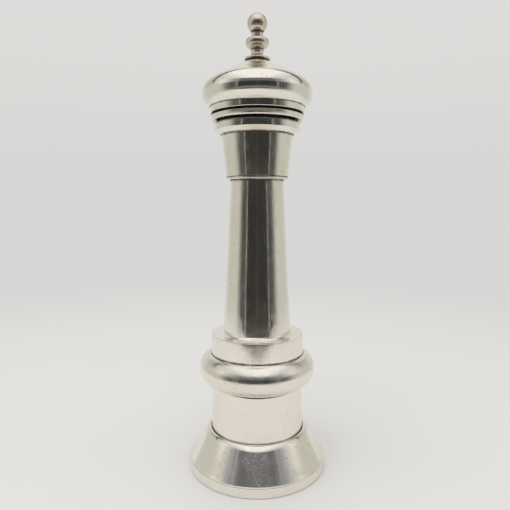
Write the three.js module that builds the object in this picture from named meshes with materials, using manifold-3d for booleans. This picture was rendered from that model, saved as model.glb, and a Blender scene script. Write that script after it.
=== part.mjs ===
// Column-shaped table pepper mill in silver-plated sheet metal.
// Millimetres, +Z up, origin at the centre of the foot's resting plane.
// The dome turns the grinder, the finial knob sets the grind, and the dome lifts off for filling.

import * as THREE from 'three';
import { mergeVertices } from 'three/addons/utils/BufferGeometryUtils.js';
import Module from 'manifold-3d';

const wasm = await Module();
wasm.setup();

// ---------------------------------------------------------------- driving dimensions

const SEAT_GAP = 0.3;            // between pieces that touch
const RUN_GAP = 0.35;            // radial, between pieces that turn in each other
const SHEET = 1.2;               // wall of the spun shells
const LARGE_FACETS = 36;
const KNOB_FACETS = 24;
const SMALL_FACETS = 12;
const CUT_OVER = 1;              // how far a cutter runs past the face that it cuts
const JOIN_OVER = 0.5;           // how far two stretches of one piece run into each other

const FOOT_RADIUS = 42;
const FOOT_RIM_HEIGHT = 6.2;
const FOOT_RIM_ROUND = 0.7;
const FOOT_RIM_WIDTH = 2.4;
const FOOT_LIP_RADIUS = 31.2;
const FOOT_LIP_ROUND = 1.5;
const FOOT_HEIGHT = 24.4;
const FOOT_SEAT_HEIGHT = 20.4;   // top of the inner flange that the drum stands on
const FOOT_SEAT_MARGIN = 1.4;    // flange bore past the grinder housing

const DRUM_BASE_RADIUS = 28.3;
const DRUM_TOP_RADIUS = 27.1;
const DRUM_LENGTH = 31.4;

const BEAD_HEIGHT = 18.2;
const BEAD_RADIUS = 35.2;
const BEAD_LIP_RADIUS = 27.9;

const STEP_BASE_RADIUS = 28.3;
const STEP_TOP_RADIUS = 27.9;
const STEP_HEIGHT = 11.8;
const STEP_EDGE_ROUND = 0.5;

const COLUMN_BASE_RADIUS = 20.6;
const COLUMN_TOP_RADIUS = 15.9;
const COLUMN_LENGTH = 91.8;
const FILLET_WIDTH = 1.1;
const FILLET_HEIGHT = 1.3;

const CAPITAL_LIP_RADIUS = 18.7;
const CAPITAL_LIP_HEIGHT = 1.3;
const CAPITAL_TOP_RADIUS = 21.1;
const CAPITAL_LENGTH = 25.4;

const COLLAR_RADIUS = 25.3;
const COLLAR_CHAMFER_HEIGHT = 2.2;
const COLLAR_HEIGHT = 6.8;

const MOUTH_BORE = 20.5;         // bore of the bearing bush that the head turns in
const MOUTH_BUSH_HEIGHT = 4.1;
const MOUTH_BUSH_RISE = 0.7;     // how far the bush stands above the collar

const PLATE_BASE_RADIUS = 26.6;
const PLATE_TOP_RADIUS = 27.6;
const PLATE_RIM_HEIGHT = 3.6;
const PLATE_RIM_WIDTH = 4;
const PLATE_WEB = 2;
const PLATE_EDGE_ROUND = 0.3;
const HUB_RADIUS = 8.9;
const SPOKE_WIDTH = 7;
const SPOKE_COUNT = 3;
const SPOKE_START = Math.PI / 6; // direction of the first spoke
const SPIGOT_WALL = 3.8;
const SPIGOT_LENGTH = 4.1;

const SPINDLE_FLATS = 6;
const SPINDLE_THREAD_RADIUS = 2;
const SPINDLE_TAIL_RADIUS = 2.5;
const SPINDLE_SQUARE_ABOVE_PLATE = 4;
const SPINDLE_IN_KNOB = 12.4;
const SPINDLE_TAIL_LENGTH = 9;
const BUSH_WALL = 1.6;
const BUSH_FLANGE_WIDTH = 1.8;
const BUSH_FLANGE_HEIGHT = 1.5;
const BUSH_LENGTH = 6.5;

const DOME_BAND_RADIUS = 27.8;
const DOME_BAND_HEIGHT = 4;
const DOME_RADIUS = 32.3;
const DOME_UNDER_REACH = 1.8;    // how far the underside first runs outwards from the band
const DOME_UNDER_RISE = 0.6;
const DOME_WAIST_DROP = 4.6;     // straightness of the outline below and above the widest ring
const DOME_WAIST_LIFT = 8.8;
const DOME_SHOULDER_REACH = 2.9; // lead-in of the shoulder, outwards and downwards
const DOME_SHOULDER_DROP = 2.2;
const DOME_CROWN_SAG = 2.3;      // hollowness of the crown, down from its top
const DOME_WAIST_HEIGHT = 11.6;  // widest ring, above the dome's lower edge
const DOME_SHOULDER_RADIUS = 17.2;
const DOME_SHOULDER_HEIGHT = 24.9;
const DOME_SEAT_RADIUS = 8.6;
const DOME_HEIGHT = 29.8;
const DOME_HOLE_RADIUS = 4.2;
const LINER_WIDTH = 3.2;
const LINER_HEIGHT = 4.6;
const PIN_CIRCLE_RADIUS = 24.6;
const PIN_RADIUS = 0.8;
const PIN_LENGTH = 6;
const PIN_DEPTH = 2.4;
const CROWN_BUSH_LENGTH = 5.4;
const CROWN_BUSH_FLANGE_RADIUS = 7.2;
const CROWN_BUSH_FLANGE_HEIGHT = 1.4;

const WASHER_RADIUS = 6.6;
const WASHER_THICKNESS = 0.8;
const KNOB_STAND = 0.8;          // skirt edge above the crown
const KNOB_RECESS = 0.6;
const KNOB_SKIRT_RADIUS = 7.5;
const KNOB_SKIRT_EDGE = 1.4;
const KNOB_SKIRT_HEIGHT = 4.4;
const KNOB_NECK_RADIUS = 3.6;
const KNOB_CURVE = 0.6;          // tightness of the sweep between skirt and neck
const KNOB_COLLAR_SWEEP = 0.8;
const KNOB_COLLAR_START = 6.6;
const KNOB_COLLAR_RADIUS = 6.8;
const KNOB_COLLAR_LOW = 10;
const KNOB_COLLAR_HIGH = 11.4;
const KNOB_COLLAR_TOP = 12.7;
const KNOB_UPPER_NECK_RADIUS = 3.4;
const KNOB_BALL_RADIUS = 5.8;
const KNOB_BALL_CENTRE = 21;
const KNOB_BORE_DEPTH = 14.2;

const HOUSING_FLANGE_HEIGHT = 3;
const HOUSING_WALL = 3.7;
const HOUSING_THROAT_HEIGHT = 18;   // throat above the flange's underside
const HOUSING_THROAT_LEDGE = 1.2;
const HOUSING_THROAT_MARGIN = 1;    // throat past the stator's grooves, at the rotor's top
const FUNNEL_HEIGHT = 11;
const FUNNEL_SKIN = 1.6;
const FUNNEL_FLANGE_WIDTH = 4;
const FUNNEL_FLANGE_HEIGHT = 2;

const ROTOR_BASE_RADIUS = 12.4;
const ROTOR_TOP_RADIUS = 8.8;
const ROTOR_HEIGHT = 15.7;
const ROTOR_TEETH = 14;
const ROTOR_TOOTH_DEPTH = 1.1;
const ROTOR_START = 1.6;         // rotor base above the housing flange's underside
const BURR_GAP = 0.7;
const BURR_TWIST = 0.45;         // radians, over the burr's height
const STATOR_TEETH = 18;
const STATOR_TOOTH_DEPTH = 1.2;
const STATOR_RADIUS = 16.2;
const STATOR_HEIGHT = 13.7;
const CLAMP_THICKNESS = 1.5;
const CLAMP_BORE = 14;

const BRIDGE_THICKNESS = 2;
const BRIDGE_WIDTH = 7;
const BRIDGE_END = 1.7;          // bar past the centres of its end screws
const BRIDGE_BOSS_RADIUS = 7.6;
const THRUST_WASHER_THICKNESS = 1;
const THRUST_WASHER_RADIUS = 7.1;
const SPRING_WIRE_RADIUS = 0.6;
const SPRING_COIL_RADIUS = 5.8;
const SPRING_TURNS = 5;
const TAIL_WASHER_RADIUS = 6.4;
const TAIL_WASHER_THICKNESS = 1.2;
const NUT_FLATS = 8;
const NUT_HEIGHT = 3.6;

const SCREW_RADIUS = 1;
const SCREW_HEAD_RADIUS = 2;
const SCREW_HEAD_HEIGHT = 1.3;
const SCREW_SLOT_WIDTH = 0.6;
const SCREW_LENGTH = 4.5;
const SCREW_HOLE_DEPTH = 0.6;    // bore past the screw's end
const SCREW_COUNT = 3;

// ---------------------------------------------------------------- heights that follow from them

const DRUM_BASE = FOOT_SEAT_HEIGHT + SEAT_GAP;
const BEAD_BASE = DRUM_BASE + DRUM_LENGTH + SEAT_GAP;
const STEP_BASE = BEAD_BASE + BEAD_HEIGHT + SEAT_GAP;
const COLUMN_BASE = STEP_BASE + STEP_HEIGHT + SEAT_GAP;
const CAPITAL_BASE = COLUMN_BASE + COLUMN_LENGTH + SEAT_GAP;
const COLLAR_BASE = CAPITAL_BASE + CAPITAL_LENGTH + SEAT_GAP;
const COLLAR_TOP = COLLAR_BASE + COLLAR_HEIGHT;
const MOUTH_TOP = COLLAR_TOP + MOUTH_BUSH_RISE;
const PLATE_BASE = MOUTH_TOP + SEAT_GAP;
const PLATE_WEB_TOP = PLATE_BASE + PLATE_WEB;
const DOME_BASE = PLATE_BASE + PLATE_RIM_HEIGHT + SEAT_GAP;
const DOME_SEAT = DOME_BASE + DOME_HEIGHT;
const KNOB_BASE = DOME_SEAT + KNOB_STAND;
const HOUSING_BASE = FOOT_SEAT_HEIGHT + SEAT_GAP;
const FUNNEL_BASE = HOUSING_BASE + HOUSING_THROAT_HEIGHT;
const FUNNEL_TOP = FUNNEL_BASE + FUNNEL_HEIGHT;
const BRIDGE_BASE = FUNNEL_TOP + SEAT_GAP;
const ROTOR_BASE = HOUSING_BASE + ROTOR_START;
const ROTOR_TOP = ROTOR_BASE + ROTOR_HEIGHT;
const STATOR_BASE = FUNNEL_BASE - HOUSING_THROAT_LEDGE - SEAT_GAP - STATOR_HEIGHT;
const CLAMP_TOP = HOUSING_BASE - SEAT_GAP;

// Radii that follow from neighbouring pieces.
const SPIGOT_RADIUS = MOUTH_BORE - RUN_GAP;
const SPIGOT_BORE = SPIGOT_RADIUS - SPIGOT_WALL;
const SPIGOT_SCREW_CIRCLE = SPIGOT_RADIUS - SPIGOT_WALL / 2;
const SPINDLE_CORNER = SPINDLE_FLATS * Math.SQRT1_2;
const SQUARE_HOLE = SPINDLE_FLATS + 2 * SEAT_GAP;
const BUSH_RADIUS = SQUARE_HOLE * Math.SQRT1_2 + BUSH_WALL;
const STATOR_BORE = STATOR_RADIUS + SEAT_GAP;
const HOUSING_RADIUS = STATOR_BORE + HOUSING_WALL;
const FOOT_SEAT_BORE = HOUSING_RADIUS + FOOT_SEAT_MARGIN;
const FOOT_SEAT_UNDER = FOOT_SEAT_HEIGHT - SHEET;
const CLAMP_SCREW_CIRCLE = STATOR_BORE + HOUSING_WALL / 2;
const DRUM_BORE_AT_TOP = DRUM_TOP_RADIUS - SHEET;
const FUNNEL_RADIUS = DRUM_BORE_AT_TOP - SEAT_GAP;
const BRIDGE_SCREW_CIRCLE = FUNNEL_RADIUS - FUNNEL_FLANGE_WIDTH / 2;
const HOUSING_FLANGE_RADIUS = DRUM_BASE_RADIUS - SHEET - 2 * SEAT_GAP;
const HOUSING_SCREW_CIRCLE = (FOOT_SEAT_BORE + HOUSING_FLANGE_RADIUS) / 2;
const SCREW_HOLE_RADIUS = SCREW_RADIUS + SEAT_GAP;

const FINISH = {
  silver: { color: 0xd8d2c6, roughness: 0.12, metalness: 1 },
  brass: { color: 0xb9974e, roughness: 0.35, metalness: 1 },
  steel: { color: 0x8f9092, roughness: 0.35, metalness: 1 },
  burr: { color: 0x5c5b59, roughness: 0.5, metalness: 1 },
  housing: { color: 0xa9a9a6, roughness: 0.45, metalness: 1 },
  nylon: { color: 0x2b2a27, roughness: 0.6, metalness: 0 },
  fibre: { color: 0x3a2a20, roughness: 0.9, metalness: 0 },
};

// ---------------------------------------------------------------- shaping helpers

// A path whose coordinates are (radius, height), sampled into points.
function sampled(draw, divisions = 6) {
  const path = new THREE.Path();
  draw(path);
  return path.getPoints(divisions);
}

// The loop round a sheet: the outer skin as drawn from bottom to top, then the inner skin taken back down.
// The inner skin is the plain one moved inwards by the wall. Where the outer skin has an edge smaller than
// the wall, plain leaves it out: that edge would turn inside out when moved.
function sheetLoop(outer, wall, plain = outer) {
  const left = (from, to) => {
    const along = to.clone().sub(from).normalize();
    return new THREE.Vector2(-along.y, along.x);
  };
  const inner = plain.map((point, i) => {
    const before = i > 0 ? left(plain[i - 1], point) : left(point, plain[i + 1]);
    const after = i < plain.length - 1 ? left(point, plain[i + 1]) : before;
    const mitre = before.clone().add(after).normalize();
    return point.clone().addScaledVector(mitre, wall / mitre.dot(before));
  });
  return [...outer, ...inner.reverse()];
}

// A solid of revolution about Z. A loop that leaves the axis is closed on itself.
function turned(loop, facets = LARGE_FACETS) {
  const onAxis = loop[0].x === 0 && loop[loop.length - 1].x === 0;
  const profile = onAxis ? loop : [...loop, loop[0].clone()];
  return new THREE.LatheGeometry(profile, facets).rotateX(Math.PI / 2);
}

// The rectangle between two radii and two heights, turned about Z.
function turnedBand(innerRadius, outerRadius, bottom, top, facets = LARGE_FACETS) {
  return turned([
    new THREE.Vector2(innerRadius, bottom),
    new THREE.Vector2(outerRadius, bottom),
    new THREE.Vector2(outerRadius, top),
    new THREE.Vector2(innerRadius, top),
  ], facets);
}

function rod(radius, bottom, top, facets = SMALL_FACETS) {
  const geometry = new THREE.CylinderGeometry(radius, radius, top - bottom, facets);
  return geometry.rotateX(Math.PI / 2).translate(0, 0, (bottom + top) / 2);
}

function squareBar(flats, bottom, top) {
  return new THREE.BoxGeometry(flats, flats, top - bottom).translate(0, 0, (bottom + top) / 2);
}

function toSolid(geometry) {
  const bare = geometry.clone();
  bare.deleteAttribute('normal');
  bare.deleteAttribute('uv');
  const merged = mergeVertices(bare, 1e-4);
  const index = Array.from(merged.index.array);
  const corners = [];
  for (let i = 0; i < index.length; i += 3) {
    const [a, b, c] = index.slice(i, i + 3);
    if (a !== b && b !== c && c !== a) {
      corners.push(a, b, c);
    }
  }
  return new wasm.Manifold(new wasm.Mesh({
    numProp: 3,
    vertProperties: Float32Array.from(merged.attributes.position.array),
    triVerts: Uint32Array.from(corners),
  }));
}

function toGeometry(solid) {
  const mesh = solid.getMesh();
  const geometry = new THREE.BufferGeometry();
  geometry.setAttribute('position', new THREE.BufferAttribute(mesh.vertProperties, 3));
  geometry.setIndex(new THREE.BufferAttribute(mesh.triVerts, 1));
  return geometry;
}

// One body from a first geometry, those joined to it and those cut from it.
function combined(first, joined, cuts) {
  let solid = toSolid(first);
  for (const geometry of joined) {
    solid = solid.add(toSolid(geometry));
  }
  for (const geometry of cuts) {
    solid = solid.subtract(toSolid(geometry));
  }
  return toGeometry(solid);
}

// Calls make(angle) for each of count equal divisions of the circle.
function around(count, make, start = 0) {
  return Array.from({ length: count }, (_, i) => make(start + (i * 2 * Math.PI) / count));
}

function onCircle(geometry, radius, angle) {
  return geometry.translate(radius * Math.cos(angle), radius * Math.sin(angle), 0);
}

const parts = new THREE.Group();

function place(group, name, geometry, finish) {
  const mesh = new THREE.Mesh(geometry, new THREE.MeshStandardMaterial(FINISH[finish]));
  mesh.name = name;
  group.add(mesh);
}

function subGroup() {
  const group = new THREE.Group();
  parts.add(group);
  return group;
}

// ---------------------------------------------------------------- body shells

function footShell() {
  const rimInner = FOOT_RADIUS - FOOT_RIM_WIDTH;
  const coneFoot = FOOT_RADIUS - FOOT_RIM_ROUND;
  const lipCentre = FOOT_HEIGHT - FOOT_LIP_ROUND;
  const drumHole = DRUM_BASE_RADIUS + SEAT_GAP;
  const slope = (coneFoot - FOOT_LIP_RADIUS) / (lipCentre - FOOT_RIM_HEIGHT);
  const coneWall = SHEET * Math.hypot(1, slope);
  const coneInnerAt = (height) => coneFoot - slope * (height - FOOT_RIM_HEIGHT) - coneWall;
  const shell = turned(sampled((path) => {
    path.moveTo(rimInner, 0);
    path.lineTo(FOOT_RADIUS - FOOT_RIM_ROUND, 0);
    path.lineTo(FOOT_RADIUS, FOOT_RIM_ROUND);
    path.lineTo(FOOT_RADIUS, FOOT_RIM_HEIGHT - FOOT_RIM_ROUND);
    path.lineTo(coneFoot, FOOT_RIM_HEIGHT);
    path.lineTo(FOOT_LIP_RADIUS, lipCentre);
    path.quadraticCurveTo(FOOT_LIP_RADIUS, FOOT_HEIGHT, FOOT_LIP_RADIUS - FOOT_LIP_ROUND, FOOT_HEIGHT);
    path.lineTo(drumHole, FOOT_HEIGHT - SEAT_GAP);
    path.lineTo(drumHole, FOOT_SEAT_HEIGHT);
    path.lineTo(FOOT_SEAT_BORE, FOOT_SEAT_HEIGHT);
    path.lineTo(FOOT_SEAT_BORE, FOOT_SEAT_UNDER);
    path.lineTo(coneInnerAt(FOOT_SEAT_UNDER), FOOT_SEAT_UNDER);
    path.lineTo(coneInnerAt(FOOT_RIM_HEIGHT), FOOT_RIM_HEIGHT);
    path.lineTo(rimInner, FOOT_RIM_HEIGHT - FOOT_RIM_WIDTH);
  }, 3));
  const hole = () => rod(SCREW_HOLE_RADIUS, FOOT_SEAT_UNDER - CUT_OVER, FOOT_SEAT_HEIGHT + CUT_OVER);
  return combined(shell, [], around(SCREW_COUNT, (a) => onCircle(hole(), HOUSING_SCREW_CIRCLE, a)));
}

function drumTube() {
  return turned(sheetLoop([
    new THREE.Vector2(DRUM_BASE_RADIUS, DRUM_BASE),
    new THREE.Vector2(DRUM_TOP_RADIUS, DRUM_BASE + DRUM_LENGTH),
  ], SHEET));
}

function torusBead() {
  const half = BEAD_HEIGHT / 2;
  const bulge = BEAD_RADIUS - BEAD_LIP_RADIUS;
  return turned(sheetLoop(sampled((path) => {
    path.absellipse(BEAD_LIP_RADIUS, BEAD_BASE + half, bulge, half, -Math.PI / 2, Math.PI / 2);
  }, 5), SHEET));
}

function stepRing() {
  const top = STEP_BASE + STEP_HEIGHT;
  const base = new THREE.Vector2(STEP_BASE_RADIUS, STEP_BASE);
  const bore = new THREE.Vector2(COLUMN_BASE_RADIUS - SHEET, top);
  const outer = [
    base,
    new THREE.Vector2(STEP_TOP_RADIUS, top - STEP_EDGE_ROUND),
    new THREE.Vector2(STEP_TOP_RADIUS - STEP_EDGE_ROUND, top),
    bore,
  ];
  return turned(sheetLoop(outer, SHEET, [base, new THREE.Vector2(STEP_TOP_RADIUS, top), bore]));
}

function columnTube() {
  return turned(sheetLoop([
    new THREE.Vector2(COLUMN_BASE_RADIUS, COLUMN_BASE),
    new THREE.Vector2(COLUMN_TOP_RADIUS, COLUMN_BASE + COLUMN_LENGTH),
  ], SHEET));
}

function columnFillet() {
  const inner = COLUMN_BASE_RADIUS + SEAT_GAP;
  return turned([
    new THREE.Vector2(inner, COLUMN_BASE),
    new THREE.Vector2(inner + FILLET_WIDTH, COLUMN_BASE),
    new THREE.Vector2(inner + FILLET_WIDTH / 3, COLUMN_BASE + FILLET_HEIGHT / 2),
    new THREE.Vector2(inner, COLUMN_BASE + FILLET_HEIGHT),
  ]);
}

function capitalCup() {
  const bore = new THREE.Vector2(COLUMN_TOP_RADIUS - SHEET, CAPITAL_BASE);
  const top = new THREE.Vector2(CAPITAL_TOP_RADIUS, CAPITAL_BASE + CAPITAL_LENGTH);
  const lipEdge = CAPITAL_LIP_HEIGHT / 3;
  const lip = new THREE.Vector2(CAPITAL_LIP_RADIUS - lipEdge, CAPITAL_BASE);
  const outer = [
    bore,
    lip,
    new THREE.Vector2(CAPITAL_LIP_RADIUS, CAPITAL_BASE + lipEdge),
    new THREE.Vector2(CAPITAL_LIP_RADIUS - lipEdge / 2, CAPITAL_BASE + CAPITAL_LIP_HEIGHT),
    top,
  ];
  return turned(sheetLoop(outer, SHEET, [bore, lip, top]));
}

function collarRing() {
  return turned(sheetLoop([
    new THREE.Vector2(CAPITAL_TOP_RADIUS - SHEET, COLLAR_BASE),
    new THREE.Vector2(CAPITAL_TOP_RADIUS + SEAT_GAP, COLLAR_BASE),
    new THREE.Vector2(COLLAR_RADIUS, COLLAR_BASE + COLLAR_CHAMFER_HEIGHT),
    new THREE.Vector2(COLLAR_RADIUS, COLLAR_TOP),
  ], SHEET));
}

function mouthBush() {
  const outer = COLLAR_RADIUS - SHEET - SEAT_GAP;
  return turnedBand(MOUTH_BORE, outer, MOUTH_TOP - MOUTH_BUSH_HEIGHT, MOUTH_TOP);
}

// ---------------------------------------------------------------- grinding mechanism

// A slotted screw, head underside at height 0, shank going down.
function screw(length = SCREW_LENGTH) {
  const profile = [
    new THREE.Vector2(0, -length),
    new THREE.Vector2(SCREW_RADIUS, -length),
    new THREE.Vector2(SCREW_RADIUS, 0),
    new THREE.Vector2(SCREW_HEAD_RADIUS, 0),
    new THREE.Vector2(SCREW_HEAD_RADIUS, SCREW_HEAD_HEIGHT),
    new THREE.Vector2(0, SCREW_HEAD_HEIGHT),
  ];
  const slot = new THREE.BoxGeometry(3 * SCREW_HEAD_RADIUS, SCREW_SLOT_WIDTH, SCREW_HEAD_HEIGHT);
  return combined(turned(profile, SMALL_FACETS), [], [slot.translate(0, 0, SCREW_HEAD_HEIGHT)]);
}

function screwHole(bottom, top) {
  return rod(SCREW_HOLE_RADIUS, bottom, top);
}

function grinderHousing() {
  const throat = ROTOR_TOP_RADIUS + BURR_GAP + STATOR_TOOTH_DEPTH + HOUSING_THROAT_MARGIN;
  const funnelMouth = FUNNEL_RADIUS - FUNNEL_FLANGE_WIDTH;
  const flangeUnder = FUNNEL_TOP - FUNNEL_FLANGE_HEIGHT;
  const body = turned([
    new THREE.Vector2(STATOR_BORE, HOUSING_BASE),
    new THREE.Vector2(HOUSING_FLANGE_RADIUS, HOUSING_BASE),
    new THREE.Vector2(HOUSING_FLANGE_RADIUS, HOUSING_BASE + HOUSING_FLANGE_HEIGHT),
    new THREE.Vector2(HOUSING_RADIUS, HOUSING_BASE + HOUSING_FLANGE_HEIGHT),
    new THREE.Vector2(HOUSING_RADIUS, FUNNEL_BASE + FUNNEL_SKIN),
    new THREE.Vector2(funnelMouth + FUNNEL_SKIN, flangeUnder),
    new THREE.Vector2(FUNNEL_RADIUS, flangeUnder),
    new THREE.Vector2(FUNNEL_RADIUS, FUNNEL_TOP),
    new THREE.Vector2(funnelMouth, FUNNEL_TOP),
    new THREE.Vector2(throat, FUNNEL_BASE),
    new THREE.Vector2(throat, FUNNEL_BASE - HOUSING_THROAT_LEDGE),
    new THREE.Vector2(STATOR_BORE, FUNNEL_BASE - HOUSING_THROAT_LEDGE),
  ]);
  const depth = SCREW_LENGTH + SCREW_HOLE_DEPTH;
  const lower = () => screwHole(HOUSING_BASE - CUT_OVER, HOUSING_BASE + depth);
  const flange = () => screwHole(HOUSING_BASE - CUT_OVER, HOUSING_BASE + HOUSING_FLANGE_HEIGHT + CUT_OVER);
  const upper = () => screwHole(FUNNEL_TOP - FUNNEL_FLANGE_HEIGHT - CUT_OVER, FUNNEL_TOP + CUT_OVER);
  const half = Math.PI / SCREW_COUNT;
  return combined(body, [], [
    ...around(SCREW_COUNT, (a) => onCircle(lower(), CLAMP_SCREW_CIRCLE, a), half),
    ...around(SCREW_COUNT, (a) => onCircle(flange(), HOUSING_SCREW_CIRCLE, a)),
    ...around(2, (a) => onCircle(upper(), BRIDGE_SCREW_CIRCLE, a), Math.PI / 2),
  ]);
}

// A saw-toothed star: each tooth rises slowly from the root circle to the tip and falls steeply.
function toothedShape(teeth, root, tip) {
  const shape = new THREE.Shape();
  const pitch = (2 * Math.PI) / teeth;
  const corner = (radius, angle) => [radius * Math.cos(angle), radius * Math.sin(angle)];
  shape.moveTo(...corner(root, 0));
  for (let i = 0; i < teeth; i += 1) {
    shape.lineTo(...corner(tip, (i + 0.75) * pitch));
    if (i < teeth - 1) {
      shape.lineTo(...corner(root, (i + 1) * pitch));
    }
  }
  return shape;
}

// The star drawn up into a tapered, twisted burr that is full size at the bottom.
function burrCore(shape, bottom, top, topScale, twist) {
  const options = { depth: top - bottom, steps: 4, bevelEnabled: false };
  const geometry = new THREE.ExtrudeGeometry(shape, options);
  const position = geometry.attributes.position;
  for (let i = 0; i < position.count; i += 1) {
    const share = position.getZ(i) / (top - bottom);
    const scale = 1 + (topScale - 1) * share;
    const turn = twist * share;
    const x = position.getX(i) * scale;
    const y = position.getY(i) * scale;
    position.setX(i, x * Math.cos(turn) - y * Math.sin(turn));
    position.setY(i, x * Math.sin(turn) + y * Math.cos(turn));
  }
  return geometry.translate(0, 0, bottom);
}

// Radius of the rotor's tooth tips at a height, as a straight cone.
function rotorTipAt(height) {
  const share = (height - ROTOR_BASE) / ROTOR_HEIGHT;
  return ROTOR_BASE_RADIUS + (ROTOR_TOP_RADIUS - ROTOR_BASE_RADIUS) * share;
}

function rotorBurr() {
  const shape = toothedShape(ROTOR_TEETH, ROTOR_BASE_RADIUS - ROTOR_TOOTH_DEPTH, ROTOR_BASE_RADIUS);
  const core = burrCore(shape, ROTOR_BASE, ROTOR_TOP, ROTOR_TOP_RADIUS / ROTOR_BASE_RADIUS, BURR_TWIST);
  return combined(core, [], [squareBar(SQUARE_HOLE, ROTOR_BASE - CUT_OVER, ROTOR_TOP + CUT_OVER)]);
}

function statorRing() {
  const over = 1;
  const bottom = STATOR_BASE - over;
  const top = STATOR_BASE + STATOR_HEIGHT + over;
  const low = rotorTipAt(bottom) + BURR_GAP;
  const high = rotorTipAt(top) + BURR_GAP;
  const shape = toothedShape(STATOR_TEETH, low, low + STATOR_TOOTH_DEPTH);
  const cutter = burrCore(shape, bottom, top, high / low, -BURR_TWIST);
  return combined(rod(STATOR_RADIUS, STATOR_BASE, STATOR_BASE + STATOR_HEIGHT, LARGE_FACETS), [], [cutter]);
}

function statorClamp() {
  const bottom = CLAMP_TOP - CLAMP_THICKNESS;
  const hole = () => screwHole(bottom - CUT_OVER, CLAMP_TOP + CUT_OVER);
  const ring = turnedBand(CLAMP_BORE, HOUSING_RADIUS, bottom, CLAMP_TOP);
  const half = Math.PI / SCREW_COUNT;
  return combined(ring, [], around(SCREW_COUNT, (a) => onCircle(hole(), CLAMP_SCREW_CIRCLE, a), half));
}

function bridgeBar() {
  const top = BRIDGE_BASE + BRIDGE_THICKNESS;
  const middle = (BRIDGE_BASE + top) / 2;
  const length = 2 * (BRIDGE_SCREW_CIRCLE + BRIDGE_END);
  const bar = new THREE.BoxGeometry(BRIDGE_WIDTH, length, BRIDGE_THICKNESS);
  const boss = rod(BRIDGE_BOSS_RADIUS, BRIDGE_BASE, top, LARGE_FACETS);
  const bearing = rod(SPINDLE_CORNER + RUN_GAP, BRIDGE_BASE - CUT_OVER, top + CUT_OVER);
  const hole = () => screwHole(BRIDGE_BASE - CUT_OVER, top + CUT_OVER);
  return combined(bar.translate(0, 0, middle), [boss], [
    bearing,
    ...around(2, (a) => onCircle(hole(), BRIDGE_SCREW_CIRCLE, a), Math.PI / 2),
  ]);
}

function thrustWasher() {
  const top = BRIDGE_BASE - SEAT_GAP;
  const bore = SPINDLE_CORNER + RUN_GAP;
  return turnedBand(bore, THRUST_WASHER_RADIUS, top - THRUST_WASHER_THICKNESS, top, SMALL_FACETS);
}

class Helix extends THREE.Curve {
  constructor(radius, bottom, top, turns) {
    super();
    Object.assign(this, { radius, bottom, top, turns });
  }

  getPoint(t, target = new THREE.Vector3()) {
    const angle = 2 * Math.PI * this.turns * t;
    const height = this.bottom + (this.top - this.bottom) * t;
    return target.set(this.radius * Math.cos(angle), this.radius * Math.sin(angle), height);
  }
}

function grinderSpring() {
  const bottom = ROTOR_TOP + SEAT_GAP + SPRING_WIRE_RADIUS;
  const top = BRIDGE_BASE - 2 * SEAT_GAP - THRUST_WASHER_THICKNESS - SPRING_WIRE_RADIUS;
  const wire = new THREE.Shape().absarc(0, 0, SPRING_WIRE_RADIUS, 0, 2 * Math.PI);
  return new THREE.ExtrudeGeometry(wire, {
    steps: SPRING_TURNS * 14,
    curveSegments: 3,
    extrudePath: new Helix(SPRING_COIL_RADIUS, bottom, top, SPRING_TURNS),
  });
}

function tailWasher() {
  const top = ROTOR_BASE - SEAT_GAP;
  const bore = SPINDLE_TAIL_RADIUS + SEAT_GAP;
  return turnedBand(bore, TAIL_WASHER_RADIUS, top - TAIL_WASHER_THICKNESS, top, SMALL_FACETS);
}

function tailNut() {
  const top = ROTOR_BASE - 2 * SEAT_GAP - TAIL_WASHER_THICKNESS;
  const body = rod(NUT_FLATS / Math.sqrt(3), top - NUT_HEIGHT, top, 6);
  const bore = rod(SPINDLE_TAIL_RADIUS + SEAT_GAP, top - NUT_HEIGHT - CUT_OVER, top + CUT_OVER);
  return combined(body, [], [bore]);
}

function spindle() {
  const squareBottom = ROTOR_BASE + SEAT_GAP;
  const squareTop = PLATE_BASE + PLATE_RIM_HEIGHT + SPINDLE_SQUARE_ABOVE_PLATE;
  return combined(squareBar(SPINDLE_FLATS, squareBottom, squareTop), [
    rod(SPINDLE_TAIL_RADIUS, squareBottom - SPINDLE_TAIL_LENGTH, squareBottom + JOIN_OVER),
    rod(SPINDLE_THREAD_RADIUS, squareTop - JOIN_OVER, KNOB_BASE + SPINDLE_IN_KNOB),
  ], []);
}

// ---------------------------------------------------------------- head

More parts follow.
